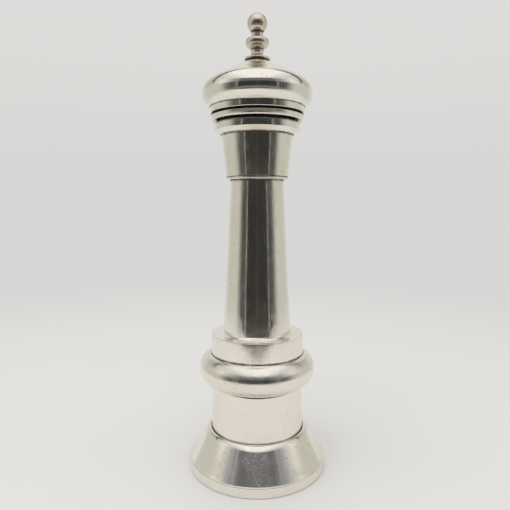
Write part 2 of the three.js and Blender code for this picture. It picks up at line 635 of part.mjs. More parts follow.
// A spider: rim, hub and spokes, open between them so that peppercorns pass.
function drivePlate() {
  const innerRim = PLATE_TOP_RADIUS - PLATE_RIM_WIDTH - PLATE_EDGE_ROUND;
  const rimTop = PLATE_BASE + PLATE_RIM_HEIGHT;
  const rim = turned([
    new THREE.Vector2(innerRim, PLATE_BASE),
    new THREE.Vector2(PLATE_BASE_RADIUS - PLATE_EDGE_ROUND, PLATE_BASE),
    new THREE.Vector2(PLATE_BASE_RADIUS, PLATE_BASE + PLATE_EDGE_ROUND),
    new THREE.Vector2(PLATE_TOP_RADIUS, rimTop - PLATE_EDGE_ROUND),
    new THREE.Vector2(PLATE_TOP_RADIUS - PLATE_EDGE_ROUND, rimTop),
    new THREE.Vector2(innerRim, rimTop),
  ]);
  const web = turnedBand(SPIGOT_BORE, innerRim + JOIN_OVER, PLATE_BASE, PLATE_WEB_TOP);
  const hub = turnedBand(BUSH_RADIUS + SEAT_GAP, HUB_RADIUS, PLATE_BASE, PLATE_WEB_TOP, SMALL_FACETS);
  const spokeStart = (BUSH_RADIUS + HUB_RADIUS) / 2;
  const spokeLength = SPIGOT_SCREW_CIRCLE - spokeStart;
  const spoke = (angle) => new THREE.BoxGeometry(spokeLength, SPOKE_WIDTH, PLATE_WEB)
    .translate(spokeStart + spokeLength / 2, 0, PLATE_BASE + PLATE_WEB / 2)
    .rotateZ(angle);
  const screws = around(SPOKE_COUNT, (a) => onCircle(
    screwHole(PLATE_BASE - CUT_OVER, PLATE_WEB_TOP + CUT_OVER), SPIGOT_SCREW_CIRCLE, a), SPOKE_START);
  const pins = around(2, (a) => onCircle(
    rod(PIN_RADIUS + SEAT_GAP, rimTop - PIN_DEPTH - SEAT_GAP, rimTop + CUT_OVER), PIN_CIRCLE_RADIUS, a));
  const bushHole = rod(BUSH_RADIUS + SEAT_GAP, PLATE_BASE - CUT_OVER, PLATE_WEB_TOP + CUT_OVER);
  const spokes = around(SPOKE_COUNT, spoke, SPOKE_START);
  return combined(rim, [web, hub, ...spokes], [bushHole, ...screws, ...pins]);
}

function spigotRing() {
  const top = PLATE_BASE - SEAT_GAP;
  const ring = turnedBand(SPIGOT_BORE, SPIGOT_RADIUS, top - SPIGOT_LENGTH, top);
  const hole = (a) => onCircle(
    screwHole(top - SPIGOT_LENGTH - CUT_OVER, top + CUT_OVER), SPIGOT_SCREW_CIRCLE, a);
  return combined(ring, [], around(SPOKE_COUNT, hole, SPOKE_START));
}

function driveBush() {
  const top = PLATE_WEB_TOP + SEAT_GAP + BUSH_FLANGE_HEIGHT;
  const body = turned([
    new THREE.Vector2(0, top - BUSH_LENGTH),
    new THREE.Vector2(BUSH_RADIUS, top - BUSH_LENGTH),
    new THREE.Vector2(BUSH_RADIUS, PLATE_WEB_TOP + SEAT_GAP),
    new THREE.Vector2(BUSH_RADIUS + BUSH_FLANGE_WIDTH, PLATE_WEB_TOP + SEAT_GAP),
    new THREE.Vector2(BUSH_RADIUS + BUSH_FLANGE_WIDTH, top),
    new THREE.Vector2(0, top),
  ], SMALL_FACETS);
  return combined(body, [], [squareBar(SQUARE_HOLE, top - BUSH_LENGTH - CUT_OVER, top + CUT_OVER)]);
}

function drivePin() {
  const bottom = PLATE_BASE + PLATE_RIM_HEIGHT - PIN_DEPTH;
  return rod(PIN_RADIUS, bottom, bottom + PIN_LENGTH);
}

function domeShell() {
  const waist = DOME_BASE + DOME_WAIST_HEIGHT;
  const shoulder = DOME_BASE + DOME_SHOULDER_HEIGHT;
  const skin = sampled((path) => {
    path.moveTo(DOME_BAND_RADIUS - SEAT_GAP, DOME_BASE);
    path.lineTo(DOME_BAND_RADIUS, DOME_BASE + SEAT_GAP);
    path.lineTo(DOME_BAND_RADIUS, DOME_BASE + DOME_BAND_HEIGHT);
    path.bezierCurveTo(
      DOME_BAND_RADIUS + DOME_UNDER_REACH, DOME_BASE + DOME_BAND_HEIGHT + DOME_UNDER_RISE,
      DOME_RADIUS, waist - DOME_WAIST_DROP, DOME_RADIUS, waist,
    );
    path.bezierCurveTo(
      DOME_RADIUS, waist + DOME_WAIST_LIFT,
      DOME_SHOULDER_RADIUS + DOME_SHOULDER_REACH, shoulder - DOME_SHOULDER_DROP,
      DOME_SHOULDER_RADIUS, shoulder,
    );
    path.quadraticCurveTo(
      (DOME_SHOULDER_RADIUS + DOME_SEAT_RADIUS) / 2, DOME_SEAT - DOME_CROWN_SAG,
      DOME_SEAT_RADIUS, DOME_SEAT,
    );
    path.lineTo(DOME_HOLE_RADIUS, DOME_SEAT);
  }, 5);
  return turned(sheetLoop(skin, SHEET));
}

function domeLiner() {
  const outer = DOME_BAND_RADIUS - SHEET - SEAT_GAP;
  const ring = turnedBand(outer - LINER_WIDTH, outer, DOME_BASE, DOME_BASE + LINER_HEIGHT);
  const hole = () => rod(PIN_RADIUS + SEAT_GAP, DOME_BASE - CUT_OVER, DOME_BASE + LINER_HEIGHT + CUT_OVER);
  return combined(ring, [], around(2, (a) => onCircle(hole(), PIN_CIRCLE_RADIUS, a)));
}

function crownBush() {
  const bore = SPINDLE_THREAD_RADIUS + RUN_GAP;
  const tube = DOME_HOLE_RADIUS - SEAT_GAP;
  const flangeTop = DOME_SEAT - SHEET - SEAT_GAP;
  const flangeBottom = flangeTop - CROWN_BUSH_FLANGE_HEIGHT;
  return turned([
    new THREE.Vector2(bore, DOME_SEAT - CROWN_BUSH_LENGTH),
    new THREE.Vector2(tube, DOME_SEAT - CROWN_BUSH_LENGTH),
    new THREE.Vector2(tube, flangeBottom),
    new THREE.Vector2(CROWN_BUSH_FLANGE_RADIUS, flangeBottom),
    new THREE.Vector2(CROWN_BUSH_FLANGE_RADIUS, flangeTop),
    new THREE.Vector2(tube, flangeTop),
    new THREE.Vector2(tube, DOME_SEAT),
    new THREE.Vector2(bore, DOME_SEAT),
  ], SMALL_FACETS);
}

function knobWasher() {
  const bottom = DOME_SEAT + SEAT_GAP;
  const bore = SPINDLE_THREAD_RADIUS + RUN_GAP;
  return turnedBand(bore, WASHER_RADIUS, bottom, bottom + WASHER_THICKNESS, SMALL_FACETS);
}

function finialKnob() {
  const bore = SPINDLE_THREAD_RADIUS + RUN_GAP;
  const recess = WASHER_RADIUS + SEAT_GAP;
  const at = (height) => KNOB_BASE + height;
  const neckJoin = Math.acos(KNOB_UPPER_NECK_RADIUS / KNOB_BALL_RADIUS);
  return turned(sampled((path) => {
    path.moveTo(0, at(KNOB_BORE_DEPTH));
    path.lineTo(bore, at(KNOB_BORE_DEPTH));
    path.lineTo(bore, at(KNOB_RECESS));
    path.lineTo(recess, at(KNOB_RECESS));
    path.lineTo(recess, at(0));
    path.lineTo(KNOB_SKIRT_RADIUS, at(0));
    path.lineTo(KNOB_SKIRT_RADIUS, at(KNOB_SKIRT_EDGE));
    path.quadraticCurveTo(
      KNOB_NECK_RADIUS + KNOB_CURVE, at(KNOB_SKIRT_EDGE + KNOB_CURVE),
      KNOB_NECK_RADIUS, at(KNOB_SKIRT_HEIGHT),
    );
    path.lineTo(KNOB_NECK_RADIUS, at(KNOB_COLLAR_START));
    path.quadraticCurveTo(
      KNOB_COLLAR_RADIUS, at(KNOB_COLLAR_START + KNOB_COLLAR_SWEEP),
      KNOB_COLLAR_RADIUS, at(KNOB_COLLAR_LOW),
    );
    path.lineTo(KNOB_COLLAR_RADIUS, at(KNOB_COLLAR_HIGH));
    path.quadraticCurveTo(
      KNOB_COLLAR_RADIUS, at(KNOB_COLLAR_TOP),
      KNOB_UPPER_NECK_RADIUS, at(KNOB_COLLAR_TOP),
    );
    path.absarc(0, at(KNOB_BALL_CENTRE), KNOB_BALL_RADIUS, -neckJoin, Math.PI / 2);
  }, 4).map((point) => new THREE.Vector2(Math.abs(point.x) < 1e-6 ? 0 : point.x, point.y)), KNOB_FACETS);
}

// ---------------------------------------------------------------- assembly

const body = subGroup();
place(body, 'foot_shell', footShell(), 'silver');
place(body, 'drum_tube', drumTube(), 'silver');
place(body, 'torus_bead', torusBead(), 'silver');
place(body, 'step_ring', stepRing(), 'silver');
place(body, 'column_tube', columnTube(), 'silver');
place(body, 'column_fillet', columnFillet(), 'silver');
place(body, 'capital_cup', capitalCup(), 'silver');
place(body, 'collar_ring', collarRing(), 'silver');
place(body, 'mouth_bush', mouthBush(), 'nylon');
place(body, 'grinder_housing', grinderHousing(), 'housing');
place(body, 'stator_ring', statorRing(), 'burr');
place(body, 'stator_clamp', statorClamp(), 'steel');
place(body, 'bridge_bar', bridgeBar(), 'steel');
place(body, 'thrust_washer', thrustWasher(), 'brass');

around(SCREW_COUNT, (angle) => angle).forEach((angle, i) => {
  const under = FOOT_SEAT_UNDER - SEAT_GAP;
  const upwards = screw().rotateX(Math.PI).translate(0, 0, under);
  place(body, `housing_screw_${i + 1}`, onCircle(upwards, HOUSING_SCREW_CIRCLE, angle), 'steel');
});

around(SCREW_COUNT, (angle) => angle, Math.PI / SCREW_COUNT).forEach((angle, i) => {
  const under = CLAMP_TOP - CLAMP_THICKNESS - SEAT_GAP;
  const upwards = screw().rotateX(Math.PI).translate(0, 0, under);
  place(body, `clamp_screw_${i + 1}`, onCircle(upwards, CLAMP_SCREW_CIRCLE, angle), 'steel');
});

around(2, (angle) => angle, Math.PI / 2).forEach((angle, i) => {
  const over = BRIDGE_BASE + BRIDGE_THICKNESS + SEAT_GAP;
  const downwards = screw().translate(0, 0, over);
  place(body, `bridge_screw_${i + 1}`, onCircle(downwards, BRIDGE_SCREW_CIRCLE, angle), 'steel');
});

const head = subGroup();
place(head, 'drive_plate', drivePlate(), 'silver');
place(head, 'spigot_ring', spigotRing(), 'brass');
place(head, 'drive_bush', driveBush(), 'brass');

around(SPOKE_COUNT, (angle) => angle, SPOKE_START).forEach((angle, i) => {
  const downwards = screw().translate(0, 0, PLATE_WEB_TOP + SEAT_GAP);
  place(head, `plate_screw_${i + 1}`, onCircle(downwards, SPIGOT_SCREW_CIRCLE, angle), 'steel');
});

around(2, (angle) => angle).forEach((angle, i) => {
  place(head, `drive_pin_${i + 1}`, onCircle(drivePin(), PIN_CIRCLE_RADIUS, angle), 'steel');
});

const grinder = subGroup();
place(grinder, 'spindle', spindle(), 'steel');
place(grinder, 'rotor_burr', rotorBurr(), 'burr');
place(grinder, 'tail_washer', tailWasher(), 'steel');
place(grinder, 'tail_nut', tailNut(), 'brass');
place(grinder, 'grinder_spring', grinderSpring(), 'steel');

const dome = subGroup();
place(dome, 'dome_shell', domeShell(), 'silver');
place(dome, 'dome_liner', domeLiner(), 'brass');
place(dome, 'crown_bush', crownBush(), 'brass');

const knob = subGroup();
place(knob, 'finial_knob', finialKnob(), 'silver');
place(knob, 'knob_washer', knobWasher(), 'fibre');

export default parts;
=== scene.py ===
# %% [markdown]
# # A silver-plated column pepper mill
#
# The real mill is a stack of spun brass shells, soldered together and silver plated: a flared foot,
# a drum, a half-round bead, a stepped ring, a tapering column and a capital. On top of them a domed
# head turns the grinder, and a small turned finial sets how fine it grinds.
#
# The engineering model gives every piece its place and size. This file makes the fine surfaces,
# keeps each one on the body that it moves with, and lights them in a white tent.

# %% Load the engineering model
import math

import bpy
import numpy as np
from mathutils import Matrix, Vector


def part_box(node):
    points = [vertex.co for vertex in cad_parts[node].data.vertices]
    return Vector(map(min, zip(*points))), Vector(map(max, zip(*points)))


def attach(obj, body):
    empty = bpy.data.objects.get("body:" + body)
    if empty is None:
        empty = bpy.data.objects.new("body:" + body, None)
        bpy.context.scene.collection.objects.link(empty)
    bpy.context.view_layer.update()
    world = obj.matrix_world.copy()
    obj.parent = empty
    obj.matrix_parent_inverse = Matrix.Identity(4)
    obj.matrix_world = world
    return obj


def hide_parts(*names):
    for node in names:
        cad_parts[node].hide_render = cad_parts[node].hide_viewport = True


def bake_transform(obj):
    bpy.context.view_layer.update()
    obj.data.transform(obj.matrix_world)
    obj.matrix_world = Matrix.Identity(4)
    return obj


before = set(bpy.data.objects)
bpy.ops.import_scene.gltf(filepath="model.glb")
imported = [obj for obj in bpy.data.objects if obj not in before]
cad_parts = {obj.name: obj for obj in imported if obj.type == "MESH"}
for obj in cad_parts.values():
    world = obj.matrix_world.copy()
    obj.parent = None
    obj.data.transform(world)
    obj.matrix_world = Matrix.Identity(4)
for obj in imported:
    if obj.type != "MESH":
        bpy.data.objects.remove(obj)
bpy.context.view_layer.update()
MM = 0.001


def into_scene(name, data):
    """A new object with that data, in the scene."""
    piece = bpy.data.objects.new(name, data)
    bpy.context.scene.collection.objects.link(piece)
    return piece


# %% [markdown]
# ## Camera
#
# The camera is near and a little above the mill's middle, so the rings bow downwards at the foot and
# upwards at the head, and the underside of the dome shows.

# %% Camera
EYE_DISTANCE = 286.2 * MM
EYE_HEIGHT = 159.95 * MM
EYE_SIDE = -1.3 * MM
LOOK_DOWN = math.radians(5.97)
LENS = 33.53

eye = bpy.data.cameras.new("eye")
eye.lens = LENS
eye.sensor_width = 36
eye.clip_start = 0.01
camera = into_scene("camera", eye)
camera.location = (EYE_SIDE, -EYE_DISTANCE, EYE_HEIGHT)
camera.rotation_euler = (math.pi / 2 - LOOK_DOWN, 0, 0)
bpy.context.scene.camera = camera
print("camera", [round(v / MM, 1) for v in camera.location], "mm, lens", LENS)

# %% [markdown]
# ## Small tools for node trees
#
# Scratches, tarnish and dull solder are patterns in a material. Short helpers keep the node code
# readable: they add a node, join sockets, do sums, mix colours and make groups.

# %% Node helpers
def add(tree, kind, **settings):
    """A new node of that kind, with its plain properties set."""
    node = tree.nodes.new(kind)
    for key, value in settings.items():
        setattr(node, key, value)
    return node


def wire(source, target):
    """Joins an output socket to an input socket, or sets the input where source is a plain value."""
    if isinstance(source, bpy.types.NodeSocket):
        target.id_data.links.new(source, target)
    else:
        target.default_value = source


def maths(operation, *values):
    """The output of a Math node fed with sockets or numbers, in the tree of the sockets."""
    tree = next(v for v in values if isinstance(v, bpy.types.NodeSocket)).id_data
    node = add(tree, "ShaderNodeMath", operation=operation)
    for value, socket in zip(values, node.inputs):
        wire(value, socket)
    return node.outputs[0]


def product(result, *others):
    """All the values multiplied."""
    for value in others:
        result = maths("MULTIPLY", result, value)
    return result


def weighted(result, *parts):
    """The first value plus the sum of value x weight over the parts."""
    for value, weight in parts:
        result = maths("ADD", result, product(value, weight))
    return result


def own_place(tree):
    """The object's own coordinates."""
    return add(tree, "ShaderNodeTexCoord").outputs["Object"]


def split(vector):
    """The X, Y and Z of a vector."""
    node = add(vector.id_data, "ShaderNodeSeparateXYZ")
    wire(vector, node.inputs[0])
    return node.outputs


def span(value, low, high, out_low=0.0, out_high=1.0):
    """value, taken smoothly from low..high to out_low..out_high and held there."""
    node = add(value.id_data, "ShaderNodeMapRange", interpolation_type="SMOOTHSTEP")
    for source, name in zip((value, low, high, out_low, out_high),
                            ("Value", "From Min", "From Max", "To Min", "To Max")):
        wire(source, node.inputs[name])
    return node.outputs["Result"]


def blended(share, first, second):
    """A colour between two, by share. A colour is a socket or three numbers."""
    node = add(share.id_data, "ShaderNodeMix", data_type="RGBA")
    wire(share, node.inputs["Factor"])
    for colour, socket in ((first, node.inputs[6]), (second, node.inputs[7])):
        wire((*colour, 1) if isinstance(colour, tuple) else colour, socket)
    return node.outputs[2]


def noise(vector, scale, detail=3.0, roughness=0.5):
    """Smooth noise between 0 and 1."""
    node = add(vector.id_data, "ShaderNodeTexNoise")
    wire(vector, node.inputs["Vector"])
    wire(scale, node.inputs["Scale"])
    node.inputs["Detail"].default_value = detail
    node.inputs["Roughness"].default_value = roughness
    return node.outputs["Fac"]


def turned_and_stretched(vector, angles, stretch):
    """The coordinates turned by three angles in degrees, then scaled along each axis."""
    node = add(vector.id_data, "ShaderNodeMapping")
    wire(vector, node.inputs["Vector"])
    node.inputs["Rotation"].default_value = [math.radians(a) for a in angles]
    node.inputs["Scale"].default_value = stretch
    return node.outputs["Vector"]


def new_group(name, inputs, outputs):
    """A shader node group with float inputs (name: default) and float outputs."""
    tree = bpy.data.node_groups.new(name, "ShaderNodeTree")
    for label, default in inputs.items():
        socket = tree.interface.new_socket(label, in_out="INPUT", socket_type="NodeSocketFloat")
        socket.default_value = default
    for label in outputs:
        tree.interface.new_socket(label, in_out="OUTPUT", socket_type="NodeSocketFloat")
    return tree, add(tree, "NodeGroupInput").outputs, add(tree, "NodeGroupOutput").inputs


print("node helpers ready")

# %% [markdown]
# ## Scratches from years of polishing
#
# A polishing cloth leaves hair-fine scratches that run every way. Noise stretched thirtyfold along
# one axis turns into long strands, and a narrow band of its values leaves only thin lines. Four such
# layers, each turned differently, cross like real wear. The mask serves for bump and roughness.

# %% Node group: polishing scratches
# Scratch mask = the strongest of four layers; a layer is 1 where its stretched noise is within a
# hair of 0.5, thinned out by a second, broad noise.
tree, given, result = new_group("polishing_scratches", {"Density": 0.5}, ["Mask"])
place = own_place(tree)
strongest = 0.0
layers = [((12, 34, 8), 620), ((71, -20, 40), 480), ((-38, 65, 95), 760), ((5, -48, 150), 540)]
for angles, scale in layers:
    run = turned_and_stretched(place, angles, (1.0, 1.0, 0.035))
    strand = noise(run, scale, detail=2.0)
    offset = maths("ABSOLUTE", maths("SUBTRACT", strand, 0.5))
    line = span(offset, 0.0, 0.018, 1.0, 0.0)
    patch = noise(turned_and_stretched(place, angles, (1, 1, 1)), 55.0, detail=2.0)
    least = weighted(0.72, (given["Density"], -0.3))
    strongest = maths("MAXIMUM", strongest, product(line, span(patch, least, 0.75)))
wire(strongest, result["Mask"])
scratch_group = tree
print(tree.name, len(tree.nodes), "nodes")

# %% [markdown]
# ## Tarnish and painted shade
#
# Silver goes yellow, then brown, where the cloth doesn't reach: beside the soldered seams and in
# small freckles. Each turned piece carries an attribute named crease, 1 at its seams and 0 on its
# open surface. The brown along the creases is tarnish and also painted shade: it darkens the gaps
# and joints between the parts, where shade falls. Noise breaks its edge up. Freckles and a broad,
# thin film lie over the open surface.

# %% Node group: tarnish and painted shade
# StainAndShade = crease raised by cloudy noise: tarnish along the seams and painted shade in the
# gaps between parts. Speckle = small cells whose centres are near, kept only where a broad noise is
# high. Film = the upper half of a very soft, broad noise.
tree, given, result = new_group("tarnish", {"Seams": 1.0, "Freckles": 1.0}, ["StainAndShade", "Speckle", "Film"])
place = own_place(tree)
crease = add(tree, "ShaderNodeAttribute", attribute_name="crease").outputs["Fac"]
cloud = noise(place, 240.0, detail=5.0, roughness=0.65)
raised = weighted(crease, (maths("SUBTRACT", cloud, 0.5), 0.9))
stain_and_shade = product(span(raised, 0.35, 1.05), given["Seams"])
cells = add(tree, "ShaderNodeTexVoronoi", feature="F1")
wire(place, cells.inputs["Vector"])
cells.inputs["Scale"].default_value = 330.0
dot = span(cells.outputs["Distance"], 0.05, 0.16, 1.0, 0.0)
rare = span(noise(place, 120.0, detail=3.0), 0.50, 0.62)
speckle = product(dot, rare, given["Freckles"])
film = span(noise(place, 32.0, detail=4.0, roughness=0.6), 0.42, 0.72)
for name, value in (("StainAndShade", stain_and_shade), ("Speckle", speckle), ("Film", film)):
    wire(value, result[name])
tarnish_and_shade_group = tree
print(tree.name, len(tree.nodes), "nodes")

# %% [markdown]
# ## Turning lines
#
# Brass bushes and steel fittings come off a lathe, so their surface is a fine record: rings that
# differ only with distance from the axis and with height. Noise on those two numbers gives rings.

# %% Node group: turning lines
# Lines = fine noise of (distance from the axis, height), equal all round the axis.
tree, given, result = new_group("turning_lines", {"Pitch": 1.0}, ["Lines"])
x, y, z = split(own_place(tree))
out = maths("SQRT", weighted(product(x, x), (y, y)))
ring = add(tree, "ShaderNodeCombineXYZ")
wire(product(out, given["Pitch"]), ring.inputs["X"])
wire(product(z, given["Pitch"]), ring.inputs["Y"])
wire(noise(ring.outputs[0], 5200.0, detail=3.0), result["Lines"])
turning_group = tree
print(tree.name, len(tree.nodes), "nodes")

# %% [markdown]
# ## Film and grain
#
# Brass, steel, cast alloy, nylon and the paper all have two things in common: a broad, patchy film
# and a fine grain. They are the same noise at two scales, so one group serves them all.

# %% Node group: film and grain
# Film = the upper half of a broad noise; Grain = a fine noise. Broad and Fine are their scales.
tree, given, result = new_group("film_and_grain", {"Broad": 150.0, "Fine": 2200.0}, ["Film", "Grain"])
place = own_place(tree)
broad = noise(place, given["Broad"], detail=5.0, roughness=0.62)
wire(span(broad, 0.4, 0.72), result["Film"])
wire(noise(place, given["Fine"], detail=4.5, roughness=0.6), result["Grain"])
grain_group = tree
print(tree.name, len(tree.nodes), "nodes")

# %% [markdown]
# ## Materials
#
# One function makes silver plate, one the worked metals and one the nylon. Materials of a kind
# differ only in the values given to it.

# %% Placing a group in a material
def placed(tree, group, **values):
    """A group node in a material, with its inputs set."""
    node = add(tree, "ShaderNodeGroup", node_tree=group)
    for name, value in values.items():
        node.inputs[name].default_value = value
    return node.outputs


def bumped(height, distance, strength=1.0, under=None):
    """A Bump node over a height, in metres, on top of another normal if there is one."""
    node = add(height.id_data, "ShaderNodeBump")
    node.inputs["Strength"].default_value = strength
    node.inputs["Distance"].default_value = distance
    wire(height, node.inputs["Height"])
    if under is not None:
        wire(under, node.inputs["Normal"])
    return node.outputs["Normal"]


def blank_material(name):
    """A material with only a Principled shader in it."""
    material = bpy.data.materials.new(name)
    material.use_nodes = True
    tree = material.node_tree
    return material, tree, tree.nodes["Principled BSDF"]


def dress(shader, colour, roughness, normal):
    """Hands the shader its colour, roughness and normal."""
    for value, name in ((colour, "Base Color"), (roughness, "Roughness"), (normal, "Normal")):
        wire(value, shader.inputs[name])


print("material helpers ready")

# %% Node group: rubbed patches
# Where a cloth has rubbed the plate: Streak = noise drawn out along the height; Mottle = fine
# cloudy noise; Wave = the slow unevenness of hand-spun sheet.
tree, given, result = new_group("rubbed_patches", {"Length": 0.12}, ["Streak", "Mottle", "Wave"])
place = own_place(tree)
x, y, z = split(place)
drawn = add(tree, "ShaderNodeCombineXYZ")
for value, socket in zip((x, y, product(z, given["Length"])), drawn.inputs):
    wire(value, socket)
streak = span(noise(drawn.outputs[0], 170.0, detail=5.0, roughness=0.62), 0.42, 0.7)
wire(streak, result["Streak"])
wire(noise(place, 420.0, detail=6.0, roughness=0.62), result["Mottle"])
wire(noise(place, 62.0, detail=1.5), result["Wave"])
rub_group = tree
print(tree.name, len(tree.nodes), "nodes")


# %% Silver plate
FILM_TINT = (0.80, 0.75, 0.64)     # what a film of tarnish leaves of red, green and blue


def silver(name, bright, stain_and_shade_colour, roughness, scratches, seams, freckles, wear=1.0):
    """Polished plate: bright metal, tarnished and darkened with painted shade in the creases, freckled,
    dulled by a thin uneven film and by rubbed streaks, with hair scratches in bump and in roughness."""
    material, tree, shader = blank_material(name)
    shader.inputs["Metallic"].default_value = 1.0
    stain_and_shade, speckle, film = placed(tree, tarnish_and_shade_group, Seams=seams, Freckles=freckles)
    streak, mottle, wave = placed(tree, rub_group)
    mask = placed(tree, scratch_group, Density=scratches)[0]
    cloud = span(mottle, 0.35, 0.7)
    dim = weighted(0.0, (film, 0.22 * wear), (cloud, 0.14 * wear))
    filmed = blended(dim, bright, tuple(b * t for b, t in zip(bright, FILM_TINT)))
    # Where the plate is darkened: tarnish and painted shade along the seams, and the freckles.
    dull = maths("MAXIMUM", stain_and_shade, product(speckle, 0.75))
    rough = weighted(roughness, (film, 0.05 * wear), (streak, 0.07 * wear), (cloud, 0.03),
                     (mask, 0.08), (dull, 0.25))
    normal = None
    for height, depth, strength in (
            (wave, 0.00022, 0.8), (mottle, 0.000012 * wear, 0.7), (streak, 0.00001 * wear, 0.6),
            (speckle, 0.00005, 0.5), (mask, -0.00002, 0.8)):
        normal = bumped(height, depth, strength, under=normal)
    dress(shader, blended(dull, filmed, stain_and_shade_colour), rough, normal)
    return material


BRIGHT_SILVER = (0.93, 0.885, 0.815)
# Brown of tarnish in the seams, also used as painted shade in the gaps and joints between shells.
SEAM_STAIN_AND_SHADE = (0.09, 0.068, 0.045)
silver_plate = silver("silver_plate", BRIGHT_SILVER, SEAM_STAIN_AND_SHADE, 0.05, 1.0, 0.97, 0.95)
# The finial's seam colour is tarnish and also the painted shadow under its ball.
finial_silver = silver("finial_silver", (0.80, 0.73, 0.64), (0.09, 0.045, 0.02), 0.19, 0.8, 1.0, 0.6, 1.2)
bead_silver = silver("bead_silver", BRIGHT_SILVER, SEAM_STAIN_AND_SHADE, 0.17, 1.0, 0.97, 0.95)
solder = silver("dull_solder", (0.66, 0.62, 0.54), (0.05, 0.04, 0.03), 0.2, 0.5, 1.0, 1.0)
print(silver_plate.name, bead_silver.name, finial_silver.name, solder.name)

# %% Turned brass, steel and cast alloy
def worked_metal(name, colour, dark, roughness, pitch, line_depth, cast_depth=0.0):
    """Machined or cast metal: turning lines or cast grain in bump and roughness, and a dark, patchy
    film in the hollows of a broad noise."""
    material, tree, shader = blank_material(name)
    shader.inputs["Metallic"].default_value = 1.0
    lines = placed(tree, turning_group, Pitch=pitch)[0]
    film, grain = placed(tree, grain_group)
    normal = bumped(lines, line_depth, 0.6)
    if cast_depth:
        normal = bumped(grain, cast_depth, 0.7, under=normal)
    dress(shader, blended(product(film, 0.55), colour, dark),
          weighted(roughness, (lines, 0.12), (film, 0.14)), normal)
    return material


brass = worked_metal("turned_brass", (0.70, 0.54, 0.27), (0.30, 0.20, 0.09), 0.24, 1.0, 0.00002)
old_brass = worked_metal("tarnished_brass", (0.15, 0.105, 0.055), (0.045, 0.03, 0.017), 0.45, 1.0, 0.00002)
steel = worked_metal("plated_steel", (0.60, 0.60, 0.60), (0.34, 0.33, 0.31), 0.26, 1.0, 0.00002)
burr_steel = worked_metal("burr_steel", (0.33, 0.325, 0.32), (0.14, 0.12, 0.10), 0.36, 0.7, 0.00003, 0.00003)
alloy = worked_metal("cast_alloy", (0.60, 0.60, 0.59), (0.36, 0.35, 0.33), 0.4, 0.5, 0.00001, 0.00006)
print([m.name for m in (brass, old_brass, steel, burr_steel, alloy)])

# %% Nylon and fibre
def dull_stuff(name, colour, dark, roughness, grain_scale, depth):
    """A material that isn't metal: two close colours by a fine noise, and that noise as its grain."""
    material, tree, shader = blank_material(name)
    grain = placed(tree, grain_group, Fine=grain_scale)["Grain"]
    dress(shader, blended(grain, colour, dark),
          span(grain, 0.3, 0.7, roughness, roughness + 0.15), bumped(grain, depth, 0.6))
    return material


nylon = dull_stuff("nylon", (0.030, 0.029, 0.027), (0.018, 0.017, 0.016), 0.5, 900.0, 0.00002)
fibre = dull_stuff("fibre", (0.10, 0.06, 0.04), (0.035, 0.02, 0.015), 0.75, 1600.0, 0.00008)
print(nylon.name, fibre.name)

# %% [markdown]
# ## Turning a profile
#
# Every shell of the mill is spun or turned, so it is one profile carried round the axis. A profile
# is a list of (radius, height) points, drawn with the outer side going up; numpy carries it round
# as whole arrays. Real sheet is never quite true, so a slow ripple of two hundredths of a
# millimetre at most runs over it, always inwards, and bends the reflections as hand-spun metal does.

# %% Points of a profile
def corner_rounded(points, radii, steps=7):
    """The closed outline with each corner swapped for (1-t)^2 a + 2t(1-t) corner + t^2 b, where a and
    b are the corner's radius away from it."""
    points = np.asarray(points, float)
    t = np.linspace(0, 1, steps)[:, None]
    out = []
    for i, (corner, radius) in enumerate(zip(points, radii)):
        before, after = points[i - 1], points[(i + 1) % len(points)]
        if radius <= 0:
            out.append(corner[None])
            continue
        reach = [min(radius, 0.49 * np.linalg.norm(p - corner)) for p in (before, after)]
        a = corner + (before - corner) / np.linalg.norm(before - corner) * reach[0]
        b = corner + (after - corner) / np.linalg.norm(after - corner) * reach[1]
        out.append((1 - t) ** 2 * a + 2 * t * (1 - t) * corner + t ** 2 * b)
    return np.concatenate(out)


def rectangle(inner, outer, low, high, edges, steps=7):
    """A rectangle with its corners rounded, from the lower inner one round to the upper inner one."""
    return corner_rounded([(inner, low), (outer, low), (outer, high), (inner, high)], edges, steps)


def bend(start, first, second, end, steps=24):
    """A cubic curve: (1-t)^3 start + 3t(1-t)^2 first + 3t^2(1-t) second + t^3 end."""
    t = np.linspace(0, 1, steps)[:, None]
    start, first, second, end = (np.asarray(p, float) for p in (start, first, second, end))
    return (1 - t) ** 3 * start + 3 * t * (1 - t) ** 2 * first + 3 * t ** 2 * (1 - t) * second + t ** 3 * end


def sheet(skin, wall):
    """The closed outline of a sheet: the outer skin going up, then the skin moved inwards by the wall
    along its normals, going down."""
    skin = np.asarray(skin, float)
    skin = skin[np.r_[True, np.linalg.norm(np.diff(skin, axis=0), axis=1) > 1e-5]]
    along = np.gradient(skin, axis=0)
    along /= np.linalg.norm(along, axis=1, keepdims=True)
    inwards = np.c_[-along[:, 1], along[:, 0]]
    return np.concatenate([skin, (skin + inwards * wall)[::-1]])


def filled_in(profile, longest, closed=True):
    """The same outline with points added, so that no stretch is longer than the given length."""
    ends = np.roll(profile, -1, axis=0) if closed else profile[1:]
    out = []
    for a, b in zip(profile, ends):
        count = max(1, int(math.ceil(np.linalg.norm(b - a) / longest)))
        out.append(a + (b - a) * np.arange(count)[:, None] / count)
    if not closed:
        out.append(profile[-1:])
    return np.concatenate(out)


print("profile tools ready")

# %% Carrying the profile round the axis
RIPPLE = 0.018       # millimetres
WAVES = [(2, 0.031, 0.4, 1.0), (3, 0.11, 2.1, 0.8), (5, -0.07, 4.4, 0.7), (7, 0.23, 1.3, 0.4),
         (11, 0.37, 5.2, 0.25)]     # waves in a turn, radians a millimetre, shift and weight


